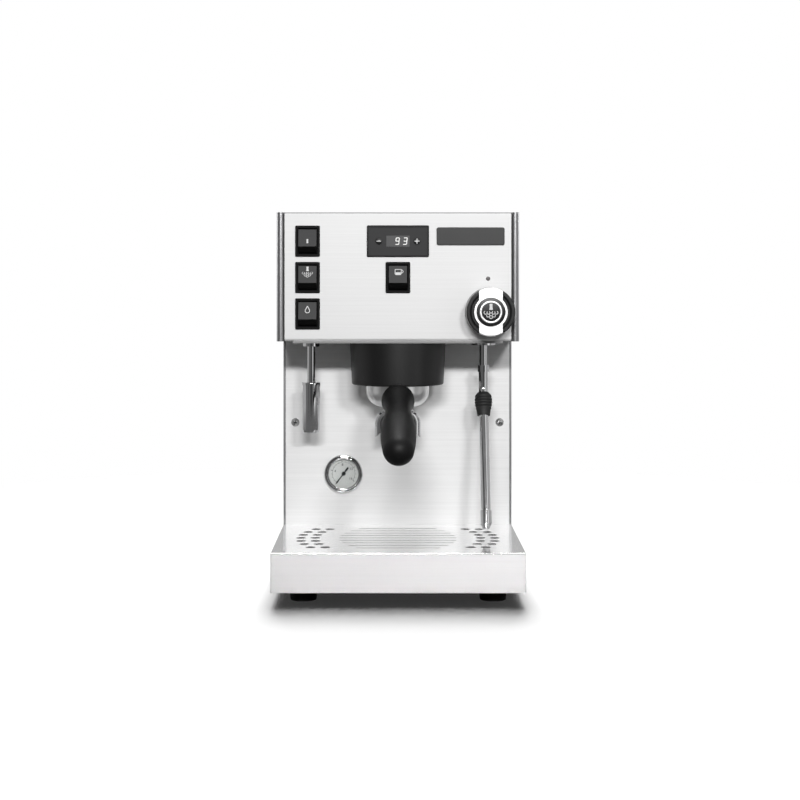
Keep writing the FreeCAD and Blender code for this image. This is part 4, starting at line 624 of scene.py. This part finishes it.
def flat_ring(name, radius, wire, flatness, segments):
    """Ring that faces the front, pressed flat from front to back."""
    ring = fresh("torus", name, major_radius=radius, minor_radius=wire, major_segments=segments,
                 minor_segments=16, rotation=(math.pi / 2, 0, 0))
    bpy.ops.object.transform_apply()
    bpy.ops.object.mode_set(mode="EDIT")
    bpy.ops.mesh.select_all(action="SELECT")
    bpy.ops.transform.resize(value=(1, flatness, 1), center_override=(0, 0, 0))
    bpy.ops.object.mode_set(mode="OBJECT")
    bpy.ops.object.shade_smooth()
    return ring


def steam_sign(width, level):
    """A nozzle over three rows of puffs, as wide as said, its middle at a level."""
    unit = width / SIGN_UNITS
    nozzle = [(0, level + up * unit) for up, _ in SIGN_NOZZLE]
    parts = [stroke(nozzle, NOZZLE_LINE * unit, SIGN_FILM, [wide for _, wide in SIGN_NOZZLE])]
    for across, up in SIGN_PUFFS:
        out = math.atan2(up - SIGN_SOURCE, across)
        arc = [out + math.radians(PUFF_STEP * step) for step in range(-5, 6)]
        parts.append(stroke([(unit * (across + PUFF_RADIUS * math.cos(turn)),
                              level + unit * (up + PUFF_RADIUS * math.sin(turn))) for turn in arc],
                            PUFF_LINE * unit, SIGN_FILM))
    return parts


def gather(name, pieces):
    """Collection of the pieces that a lamp lights, or that shade it."""
    group = bpy.data.collections.new(name)
    for piece in pieces:
        group.objects.link(piece)
    return group


def studio():
    """Settings of camera and light."""
    return bpy.context.scene.espresso_studio


def finishes():
    """Settings of the finishes."""
    return bpy.context.scene.espresso_finish


def marks():
    """Settings of the plate and the printed marks."""
    return bpy.context.scene.espresso_marks


# Operators

class ESPRESSO_OT_stage(bpy.types.Operator):
    """Add the floor, the lights, the world and the camera"""

    bl_idname = "espresso.stage"
    bl_label = "Stage"

    def execute(self, context):
        self.add_floor()
        self.add_world(context)
        self.add_lamps()
        self.add_suns()
        self.add_camera(context)
        context.scene.view_settings.view_transform = "Standard"
        return {"FINISHED"}

    def add_floor(self):
        """White floor that keeps the shadow and fades away far off."""
        settings = studio()
        floor = fresh("plane", "floor", size=12.0, location=(0, 0, 0))
        material, make = new_finish("pale_floor")
        seen = make.node("ShaderNodeLightPath", out="Is Camera Ray")
        mirrored = make.node("ShaderNodeLightPath", out="Is Glossy Ray")
        tone = seen * settings.floor_lift + mirrored * settings.floor_mirror + settings.floor_tone
        matte = make.node("ShaderNodeBsdfPrincipled", sockets={
            "Base Color": make.level(tone), "Roughness": 1.0, "Specular IOR Level": 0.0,
            "Emission Strength": 1.0, "Emission Color": make.level(seen * settings.floor_glow)})
        away = make.node("ShaderNodeVectorMath", {"operation": "LENGTH"}, {0: make.coords()}, out="Value")
        fade = ((away - FADE_START) / FADE_LENGTH).max(0.0).min(1.0) * (seen + mirrored).min(1.0)
        clear = make.node("ShaderNodeBsdfTransparent", sockets={"Color": grey(1.0)})
        make.close(make.node("ShaderNodeMixShader", sockets={0: fade, 1: matte, 2: clear}))
        floor.data.materials.append(material)

    def add_world(self, context):
        """White for the camera; bright metal sees a dark room with upright strips of light."""
        world = context.scene.world or bpy.data.worlds.new("studio")
        context.scene.world = world
        world.use_nodes = True
        make = Finish(world.node_tree, "ShaderNodeOutputWorld")
        direction = make.node("ShaderNodeTexCoord", out="Generated")
        across, away, up = (make.part(direction, axis) for axis in "XYZ")
        flat = (across * across + away * away).max(0.0001) ** 0.5
        aside = across / flat * 0.5 + 0.5
        stops = [(place, grey(tone)) for place, tone in STRIPS]
        strips = make.node("ShaderNodeValToRGB", {"stops": stops}, {0: aside})
        strips = make.node("ShaderNodeSeparateColor", sockets={0: strips})
        front = (0.0 - away * 2.5).max(0.0).min(1.0)
        above = up.max(0.0).min(1.0)
        tone = front * strips + (1.0 - front) * BACK_TONE + above * SKY_TONE
        seen = make.node("ShaderNodeLightPath", out="Is Camera Ray")
        matte = make.node("ShaderNodeLightPath", out="Is Diffuse Ray")
        tone = (tone * (1.0 - matte) + matte * studio().fill).max(seen)
        make.close(make.node("ShaderNodeBackground", sockets={"Color": make.level(tone), "Strength": 1.0}))

    def add_lamps(self):
        """A wide lamp over the camera, one to its right, soft ones round the casing, one at the tray."""
        settings = studio()
        casing = [NODES[name] for name in (
            "left_side_panel", "right_side_panel", "rear_panel", "power_inlet")]
        groups = {"front": self.all_but_floor("not_lit_by_front_lamps"),
                  "round": gather("lit_by_round_lamps", casing + [bpy.data.objects["casing_screws"]]),
                  "tray": gather("lit_by_tray_lamp", [NODES["drip_tray"]])}
        heart = Vector((0, PANEL_Y, 0.2))
        before_tray = Vector((0.06, CAD_LOW.y, 0.05))
        for name, group, place, target, power, size in (
                ("key_lamp", "front", (-0.06, -1.9, 0.86), heart, settings.key_lamp, (0.50, 0.10)),
                ("side_lamp", "front", (0.42, -1.65, 0.80), heart, settings.side_lamp, (0.20, 0.10)),
                ("left_lamp", "round", (-2.2, 0.7, 0.9), heart, settings.round_lamp, (1.0, 1.0)),
                ("right_lamp", "round", (2.2, 0.7, 0.9), heart, settings.round_lamp, (1.0, 1.0)),
                ("back_lamp", "round", (0.5, 2.5, 1.0), heart, settings.round_lamp, (1.0, 1.0)),
                ("tray_lamp", "tray", (0.22, CAD_LOW.y - 0.20, 0.08), before_tray, settings.tray_lamp,
                 (0.06, 0.06))):
            bpy.ops.object.light_add(type="AREA", location=place)
            lamp = bpy.context.object
            lamp.name = name
            lamp.data.shape = "RECTANGLE"
            lamp.data.size, lamp.data.size_y = size
            lamp.data.energy = power
            lamp.rotation_euler = (target - Vector(place)).to_track_quat("-Z", "Y").to_euler()
            lamp.light_linking.receiver_collection = groups[group]

    def add_suns(self):
        """A high sun for the machine and three low ones for the floor, shaded by the low pieces."""
        settings = studio()
        apart = self.all_but_floor("not_lit_by_high_lamp")
        ground = gather("lit_by_floor_lamp", [bpy.data.objects["floor"]])
        low_pieces = gather("shade_on_floor", [NODES[name] for name in (
            "drip_tray", "tray_grate", "base_plate", "rubber_feet")])
        suns = [("high_lamp", settings.high_tilt, settings.high_spread, settings.high_lamp, apart, None)]
        for number in (1, 2, 3):
            tilt = settings.floor_tilt + (number - 2) * settings.floor_step
            suns.append(("floor_lamp_%d" % number, tilt, settings.floor_spread,
                         settings.floor_lamp / 3 / math.cos(tilt), ground, low_pieces))
        for name, tilt, spread, strength, lit, shade in suns:
            bpy.ops.object.light_add(type="SUN", location=(0, 0.6, 2.0), rotation=(-tilt, 0, 0))
            lamp = bpy.context.object
            lamp.name = name
            lamp.data.angle = spread
            lamp.data.energy = strength
            lamp.light_linking.receiver_collection = lit
            lamp.light_linking.blocker_collection = shade

    @staticmethod
    def all_but_floor(name):
        """Collection that keeps a lamp off the floor."""
        group = gather(name, [bpy.data.objects["floor"]])
        group.collection_objects[0].light_linking.link_state = "EXCLUDE"
        return group

    def add_camera(self, context):
        """The photo's viewpoint."""
        settings = studio()
        place = (settings.camera_aside, PANEL_Y - settings.camera_distance, settings.camera_height)
        bpy.ops.object.camera_add(location=place, rotation=(math.pi / 2, 0, 0))
        camera = context.object
        camera.data.lens = settings.lens
        camera.data.sensor_width = 36.0
        camera.data.shift_x = settings.shift_x
        camera.data.shift_y = settings.shift_y
        context.scene.camera = camera


class ESPRESSO_OT_finishes(bpy.types.Operator):
    """Give every CAD piece its finish"""

    bl_idname = "espresso.finishes"
    bl_label = "Finishes"

    def execute(self, context):
        look = finishes()
        for nodes, finish in self.metals(look) + self.plastics(look) + self.gauge():
            dress(nodes.split(), finish)
        return {"FINISHED"}

    @staticmethod
    def metals(look):
        steel, rough, metal = tuple(look.steel), look.steel_roughness, look.metal
        # Fold heights of the fascia, under its hem and at its top, where it gets painted shade
        fold_shade_heights = (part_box("head_floor")[0].z + 0.3 * MM, CAD_HIGH.z - look.fold)
        return [
            ("rear_panel top_cover tank_lid base_plate",
             brushed_steel("brushed_casing", steel, rough, metal=metal)),
            ("control_fascia", brushed_steel("brushed_fascia", steel, rough, metal=metal, fold_shade_heights=fold_shade_heights)),
            # The splash panel's steel is 12% lighter than the casing's: painted light, for the lower front
            # that the lamps reach less
            ("splash_panel", brushed_steel("brushed_splash", tinted(steel, 1.12), rough, metal=metal)),
            ("left_side_panel right_side_panel", posted_steel("brushed_sides", steel, tuple(look.trim))),
            ("drip_tray", brushed_steel("brushed_tray", steel, rough * 0.9, 0.5, metal)),
            ("tray_grate", brushed_steel("polished_grate", grey(0.93), look.tray_roughness, 0.4, 0.78)),
            ("knob_bridge", brushed_steel("satin_bridge", grey(0.80), 0.40, 0.5)),
            ("double_spout hot_water_tube hot_water_nozzle wand_socket wand_tube wand_tip gauge_case",
             bright_metal("bright_chrome", tuple(look.chrome), 0.09)),
            ("portafilter_body", bright_metal("polished_bowl", grey(0.86), 0.30)),
            ("panel_screws", bright_metal("plated_screws", grey(0.6), 0.34)),
            ("valve_stem shower_screen filter_basket feed_pipe steam_pipe",
             bright_metal("plain_stainless", grey(0.7), 0.25)),
            ("group_head steam_valve solenoid_valve", bright_metal("plated_brass", (0.68, 0.62, 0.5), 0.25)),
            ("coffee_boiler steam_boiler", bright_metal("boiler_metal", (0.7, 0.68, 0.65), 0.35))]

    @staticmethod
    def plastics(look):
        plastic = tuple(look.plastic)
        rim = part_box("display_housing")[0].y + 0.4 * MM
        return [
            ("group_cover", moulded("satin_black", tinted(plastic, 0.5), 0.40, shine=0.62)),
            ("portafilter_handle", moulded("matte_black", tinted(plastic, 0.7), 0.5, shine=0.22)),
            # The head's underside is near black so that the splash panel reflects it as shade under the head:
            # painted shade
            ("head_floor", moulded("shade_dark_underside", grey(0.02), 0.5)),
            ("power_inlet knob_body knob_cap", moulded("moulded_black", plastic, 0.3)),
            (" ".join(name + "_switch_housing" for name in SWITCHES),
             moulded("switch_black", tinted(plastic, 0.8), 0.6, shine=0.15)),
            (" ".join(name + "_rocker" for name in SWITCHES),
             rocker_plastic("rocker_grey", tuple(look.rocker))),
            ("display_housing", moulded("display_grey", (0.026, 0.026, 0.027), 0.55, shine=0.3, rim=rim)),
            ("minus_button plus_button", moulded("button_black", grey(0.008), 0.45, 0.2, shine=0.4)),
            ("display_window", moulded("smoked_window", (0.085, 0.085, 0.087), 0.3, 0.1, shine=0.3)),
            ("steam_lamp", moulded("lamp_lens", (0.16, 0.15, 0.15), 0.2, 0.1)),
            ("group_gasket suction_hose wand_grip", moulded("black_rubber", grey(0.018), 0.62, 1.5)),
            ("rubber_feet", moulded("grey_rubber", grey(0.045), 0.7, 1.5, shine=0.2)),
            ("wand_seat water_tank", moulded("white_plastic", (0.75, 0.76, 0.76), 0.35)),
            ("water_pump control_board", moulded("grey_plastic", (0.2, 0.2, 0.21), 0.5))]

    @staticmethod
    def gauge():
        return [("gauge_dial", printed("dial_white", (0.86, 0.85, 0.83))),
                ("gauge_needle", printed("needle_black", grey(0.012))),
                ("gauge_glass", clear_glass("gauge_pane", (0.97, 0.98, 0.98, 1)))]


class ESPRESSO_OT_switch_marks(bpy.types.Operator):
    """Print a sign on each rocker"""

    bl_idname = "espresso.switch_marks"
    bl_label = "Switch marks"

    def execute(self, context):
        sizes = marks()
        ink = printed("white_ink", (0.86, 0.86, 0.86))
        drawn = {"power": self.bar, "steam": self.steam, "water": self.drop, "brew": self.cup}
        for name, draw in drawn.items():
            mark = join(draw(), name + "_mark")
            settle(mark, self.face_of(name, sizes), name + "_rocker", ink)
        return {"FINISHED"}

    @staticmethod
    def face_of(name, sizes):
        """Frame on a rocker's upper face: across, into the face, up the face."""
        centre = middle(name + "_switch_housing")
        ridge = FASCIA_Y - sizes.rocker_ridge_proud
        top = FASCIA_Y - sizes.rocker_top_proud
        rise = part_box(name + "_rocker")[1].z - (centre.z - sizes.rocker_ridge_drop)
        up = Vector((0, top - ridge, rise)).normalized()
        into = up.cross(Vector((1, 0, 0)))
        foot = Vector((centre.x, ridge, centre.z - sizes.rocker_ridge_drop))
        return frame_at(foot + up * sizes.rocker_ridge_drop, Vector((1, 0, 0)), into, up)

    @staticmethod
    def bar():
        return [stroke([(0, -2.2), (0, 2.2)], 2.0, SIGN_FILM)]

    @staticmethod
    def steam():
        return steam_sign(11.0, 5.2)

    @staticmethod
    def drop():
        left = [(0, 8.3), (-1.3, 5.9), (-2.3, 4.0), (-2.2, 2.4), (-1.1, 1.4), (0, 1.2)]
        return [stroke(left + [(-x, z) for x, z in reversed(left[:-1])], 0.9)]

    @staticmethod
    def cup():
        body = [(-2.9, 8.6), (-2.9, 4.2), (-2.2, 3.0), (2.6, 3.0), (3.4, 4.2), (3.4, 8.6), (-2.9, 8.6)]
        ear = [(3.4, 8.0), (4.9, 7.6), (5.4, 6.4), (4.9, 5.2), (3.4, 4.7)]
        fill = [stroke([(-2.3, z), (2.8, z)], 1.1) for z in (3.4, 4.3, 5.0)]
        return [stroke(body, 0.8), stroke(ear, 0.8)] + fill


class ESPRESSO_OT_display_marks(bpy.types.Operator):
    """Light the digits in the window and print the signs on its buttons"""

    bl_idname = "espresso.display_marks"
    bl_label = "Display marks"

    lit = {"0": "abcdef", "1": "bc", "2": "abdeg", "3": "abcdg", "4": "bcfg",
           "5": "acdfg", "6": "acdefg", "7": "abc", "8": "abcdefg", "9": "abcdfg"}

    def execute(self, context):
        sizes = marks()
        digits = []
        for index, digit in enumerate(sizes.reading):
            shift = sizes.digit_shift + (index - 0.5) * sizes.digit_pitch
            digits += self.digit(digit, shift, sizes.digit_height)
        glow = printed("lit_digits", (0.9, 0.9, 0.88), 0.35)
        shown = join(digits, "display_digits")
        settle(shown, front_of("display_window"), "chassis", glow)
        ink = bpy.data.materials["white_ink"]
        for name, signs in (("minus_button", [[(-2.1, 0), (-0.7, 0), (0.7, 0), (2.1, 0)]]),
                            ("plus_button", [[(-2.4, 0), (0, 0), (2.4, 0)], [(0, -2.4), (0, 0), (0, 2.4)]])):
            sign = join([stroke(points, **BUTTON_LINE) for points in signs], name + "_sign")
            settle(sign, front_of(name), name, ink)
        return {"FINISHED"}

    def digit(self, figure, shift, height):
        """Strokes of one slanted seven-segment figure."""
        half, wide = height / 2, height * DIGIT_HALF
        ends = {"a": ((-wide, half), (wide, half)), "b": ((wide, half), (wide, 0)),
                "c": ((wide, 0), (wide, -half)), "d": ((-wide, -half), (wide, -half)),
                "e": ((-wide, 0), (-wide, -half)), "f": ((-wide, half), (-wide, 0)),
                "g": ((-wide, 0), (wide, 0))}
        return [stroke([(x + z * DIGIT_SLANT + shift, z) for x, z in ends[part]], height * DIGIT_LINE)
                for part in self.lit[figure]]


class ESPRESSO_OT_badge_plate(bpy.types.Operator):
    """Fix a bare plate to the fascia"""

    bl_idname = "espresso.badge_plate"
    bl_label = "Bare plate"

    def execute(self, context):
        sizes = marks()
        plate = fresh("cube", "badge_plate", size=1.0)
        plate.scale = (sizes.plate_width, sizes.plate_thickness, sizes.plate_height)
        bpy.ops.object.transform_apply()
        bpy.ops.object.mode_set(mode="EDIT")
        pick_edges(plate, lambda run: abs(run.y) > 0.9 * run.length)
        bpy.ops.mesh.bevel(offset=sizes.plate_corner, segments=5, affect="EDGES")
        pick_faces(plate, lambda centre, normal: normal.y < -0.9)
        bpy.ops.mesh.bevel(offset=sizes.plate_edge, segments=3, affect="EDGES")
        pick_faces(plate, lambda centre, normal: normal.y < -0.99)
        bpy.ops.mesh.inset(thickness=sizes.plate_border)
        extrude(into=sizes.plate_sink)
        bpy.ops.object.mode_set(mode="OBJECT")
        bpy.ops.object.shade_smooth_by_angle(angle=math.radians(35))
        place = frame_at((sizes.plate_x, FASCIA_Y - sizes.plate_thickness / 2, sizes.plate_z))
        finish = moulded("plate_black", grey(0.032), 0.5, 0.5, shine=0.4)
        settle(plate, place, "chassis", finish)
        return {"FINISHED"}


class ESPRESSO_OT_knob_trim(bpy.types.Operator):
    """Set a bright ring and a sign in the knob's cap"""

    bl_idname = "espresso.knob_trim"
    bl_label = "Knob trim"

    def execute(self, context):
        sizes = marks()
        satin, ink = bpy.data.materials["satin_bridge"], bpy.data.materials["white_ink"]
        ring = flat_ring("knob_ring", sizes.knob_ring, sizes.knob_wire, 0.5, 96)
        settle(ring, front_of("knob_cap", sizes.crown_drop), "steam_knob", satin)
        sign = join(steam_sign(sizes.knob_sign, 0.0), "knob_sign")
        settle(sign, front_of("knob_cap"), "steam_knob", ink)
        return {"FINISHED"}


class ESPRESSO_OT_water_nozzle(bpy.types.Operator):
    """Turn the hot water nozzle with its collar, chamfer and bore"""

    bl_idname = "espresso.water_nozzle"
    bl_label = "Hot water nozzle"

    def execute(self, context):
        sizes = marks()
        low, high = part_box("hot_water_nozzle")
        radius = (high.x - low.x) / 2
        waist = radius - sizes.nozzle_step
        body = high.z - low.z - sizes.nozzle_collar - sizes.nozzle_chamfer
        nozzle = fresh("cylinder", "water_nozzle", radius=waist, depth=body, vertices=96)
        bpy.ops.object.mode_set(mode="EDIT")
        pick_faces(nozzle, lambda centre, normal: normal.z > 0.9)
        extrude(up=SHOULDER)
        bpy.ops.transform.resize(value=(radius / waist, radius / waist, 1), center_override=(0, 0, 0))
        extrude(up=sizes.nozzle_collar)
        bpy.ops.mesh.bevel(offset=COLLAR_EDGE, segments=3, affect="EDGES")
        pick_faces(nozzle, lambda centre, normal: normal.z < -0.9 and centre.z < -body / 2.1)
        narrow = (waist - sizes.nozzle_step * 3) / waist
        extrude(up=-sizes.nozzle_chamfer)
        bpy.ops.transform.resize(value=(narrow, narrow, 1), center_override=(0, 0, 0))
        bpy.ops.mesh.inset(thickness=waist * narrow - sizes.nozzle_bore)
        extrude(up=radius)
        bpy.ops.object.mode_set(mode="OBJECT")
        bpy.ops.object.shade_smooth_by_angle(angle=math.radians(30))
        centre = (low + high) / 2
        place = Matrix.Translation((centre.x, centre.y, low.z + sizes.nozzle_chamfer + body / 2))
        settle(nozzle, place, "chassis", bpy.data.materials["bright_chrome"])
        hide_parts("hot_water_nozzle")
        return {"FINISHED"}


class ESPRESSO_OT_screw_slots(bpy.types.Operator):
    """Lay a dark cross on each panel screw, painted shade for its slots"""

    bl_idname = "espresso.screw_slots"
    bl_label = "Screw slots"

    def execute(self, context):
        low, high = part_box("panel_screws")
        head = (high.z - low.z) / 2
        # The crosses are dark film on the heads, painted shade standing in for cut slots
        dark = printed("slot_painted_shade", (0.012, 0.012, 0.012))
        for side, x in (("left", low.x + head), ("right", high.x - head)):
            lines = [[(-2.2, 0.6), (0, 0), (2.2, -0.6)], [(-0.6, -2.2), (0, 0), (0.6, 2.2)]]
            cross = join([stroke(line, **SLOT_LINE) for line in lines], side + "_screw_slot")
            settle(cross, frame_at((x, low.y, (low.z + high.z) / 2)), "chassis", dark)
        return {"FINISHED"}


class ESPRESSO_OT_casing_screws(bpy.types.Operator):
    """Sink flush screws in the rear panel and the sides"""

    bl_idname = "espresso.casing_screws"
    bl_label = "Casing screws"

    def execute(self, context):
        sizes = marks()
        inset = sizes.screw_inset
        low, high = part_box("rear_panel")
        places = [(Vector((x, high.y, z)), Vector((0, 1, 0))) for x in (low.x + inset, high.x - inset)
                  for z in (low.z + inset, (low.z + high.z) / 2, high.z - inset)]
        for name, x, out in (("left_side_panel", CAD_LOW.x, -1), ("right_side_panel", CAD_HIGH.x, 1)):
            low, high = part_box(name)
            places += [(Vector((x, y, low.z + inset)), Vector((out, 0, 0)))
                       for y in (PANEL_Y + 2 * inset, high.y - inset)]
        head = self.model(sizes.screw_radius)
        heads = []
        for place, out in places:
            copy = head.copy()
            copy.data = head.data.copy()
            context.scene.collection.objects.link(copy)
            turn = Vector((0, 0, 1)).rotation_difference(out).to_matrix().to_4x4()
            copy.matrix_world = Matrix.Translation(place) @ turn
            heads.append(copy)
        bpy.data.objects.remove(head)
        select_only(*heads)
        bpy.ops.object.transform_apply()
        screws = join(heads, "casing_screws")
        settle(screws, Matrix(), "chassis", bpy.data.materials["plated_screws"])
        return {"FINISHED"}

    @staticmethod
    def model(radius):
        """Flush head with a rounded edge and a sunk socket."""
        head = fresh("cylinder", "screw_head", radius=radius, depth=HEAD_DEPTH, vertices=48,
                     location=(0, 0, HEAD_LEVEL))
        bpy.ops.object.transform_apply()
        bpy.ops.object.mode_set(mode="EDIT")
        pick_faces(head, lambda centre, normal: normal.z > 0.9)
        bpy.ops.mesh.bevel(offset=HEAD_EDGE, segments=2, affect="EDGES")
        pick_faces(head, lambda centre, normal: normal.z > 0.99)
        bpy.ops.mesh.inset(thickness=radius * SOCKET_RIM)
        extrude(up=-SOCKET_DEPTH)
        bpy.ops.object.mode_set(mode="OBJECT")
        bpy.ops.object.shade_smooth_by_angle(angle=math.radians(30))
        return head


class ESPRESSO_OT_gauge_lip(bpy.types.Operator):
    """Lay the bezel's inner lip on the gauge's glass"""

    bl_idname = "espresso.gauge_lip"
    bl_label = "Gauge lip"

    def execute(self, context):
        sizes = marks()
        lip = flat_ring("gauge_lip", sizes.lip_radius, sizes.lip_wire, 0.45, 128)
        chrome = bpy.data.materials["bright_chrome"]
        settle(lip, front_of("gauge_glass"), "chassis", chrome)
        return {"FINISHED"}


class ESPRESSO_OT_gauge_print(bpy.types.Operator):
    """Print ticks and numbers on the gauge's dial"""

    bl_idname = "espresso.gauge_print"
    bl_label = "Gauge print"

    def execute(self, context):
        sizes = marks()
        ink = printed("dial_ink", (0.05, 0.05, 0.055))
        parts = []
        steps = sizes.dial_steps * sizes.dial_fine
        for step in range(steps + 1):
            long = step % sizes.dial_fine == 0
            tip, width = (LONG_TICK, LONG_WIDTH) if long else (SHORT_TICK, SHORT_WIDTH)
            parts.append(stroke([self.spot(radius, step / steps) for radius in (TICK_START, tip)], width))
        arc = [self.spot(ARC_RADIUS, step / ARC_STEPS) for step in range(ARC_STEPS + 1)]
        parts.append(stroke(arc, ARC_WIDTH))
        for step in range(sizes.dial_steps + 1):
            place = self.spot(NUMBER_RADIUS, step / sizes.dial_steps)
            parts.append(figures(str(step * sizes.dial_unit), NUMBER_HEIGHT, place))
        settle(join(parts, "dial_print"), front_of("gauge_dial"), "chassis", ink)
        return {"FINISHED"}

    @staticmethod
    def spot(radius, share):
        """Point on the dial, in mm, at a radius and a share of the sweep."""
        turn = math.radians(marks().dial_zero + marks().dial_sweep * share)
        return radius * math.sin(turn), radius * math.cos(turn)


CLASSES = (StudioSettings, FinishSettings, MarkSettings,
           ESPRESSO_OT_finishes, ESPRESSO_OT_switch_marks, ESPRESSO_OT_display_marks, ESPRESSO_OT_badge_plate,
           ESPRESSO_OT_knob_trim, ESPRESSO_OT_water_nozzle, ESPRESSO_OT_screw_slots,
           ESPRESSO_OT_casing_screws, ESPRESSO_OT_gauge_lip, ESPRESSO_OT_gauge_print, ESPRESSO_OT_stage)


class ESPRESSO_PT_panel(bpy.types.Panel):
    """Sidebar panel"""

    bl_label = "Espresso machine"
    bl_idname = "ESPRESSO_PT_panel"
    bl_space_type = "VIEW_3D"
    bl_region_type = "UI"
    bl_category = "Espresso"

    def draw(self, context):
        for made in CLASSES:
            if issubclass(made, bpy.types.Operator):
                self.layout.operator(made.bl_idname)


def register():
    for made in CLASSES + (ESPRESSO_PT_panel,):
        bpy.utils.register_class(made)
    bpy.types.Scene.espresso_studio = bpy.props.PointerProperty(type=StudioSettings)
    bpy.types.Scene.espresso_finish = bpy.props.PointerProperty(type=FinishSettings)
    bpy.types.Scene.espresso_marks = bpy.props.PointerProperty(type=MarkSettings)


def unregister():
    del bpy.types.Scene.espresso_studio
    del bpy.types.Scene.espresso_finish
    del bpy.types.Scene.espresso_marks
    for made in reversed(CLASSES + (ESPRESSO_PT_panel,)):
        bpy.utils.unregister_class(made)


def main():
    register()
    for made in CLASSES:
        if issubclass(made, bpy.types.Operator):
            group, name = made.bl_idname.split(".")
            getattr(getattr(bpy.ops, group), name)()


if __name__ == "__main__":
    main()
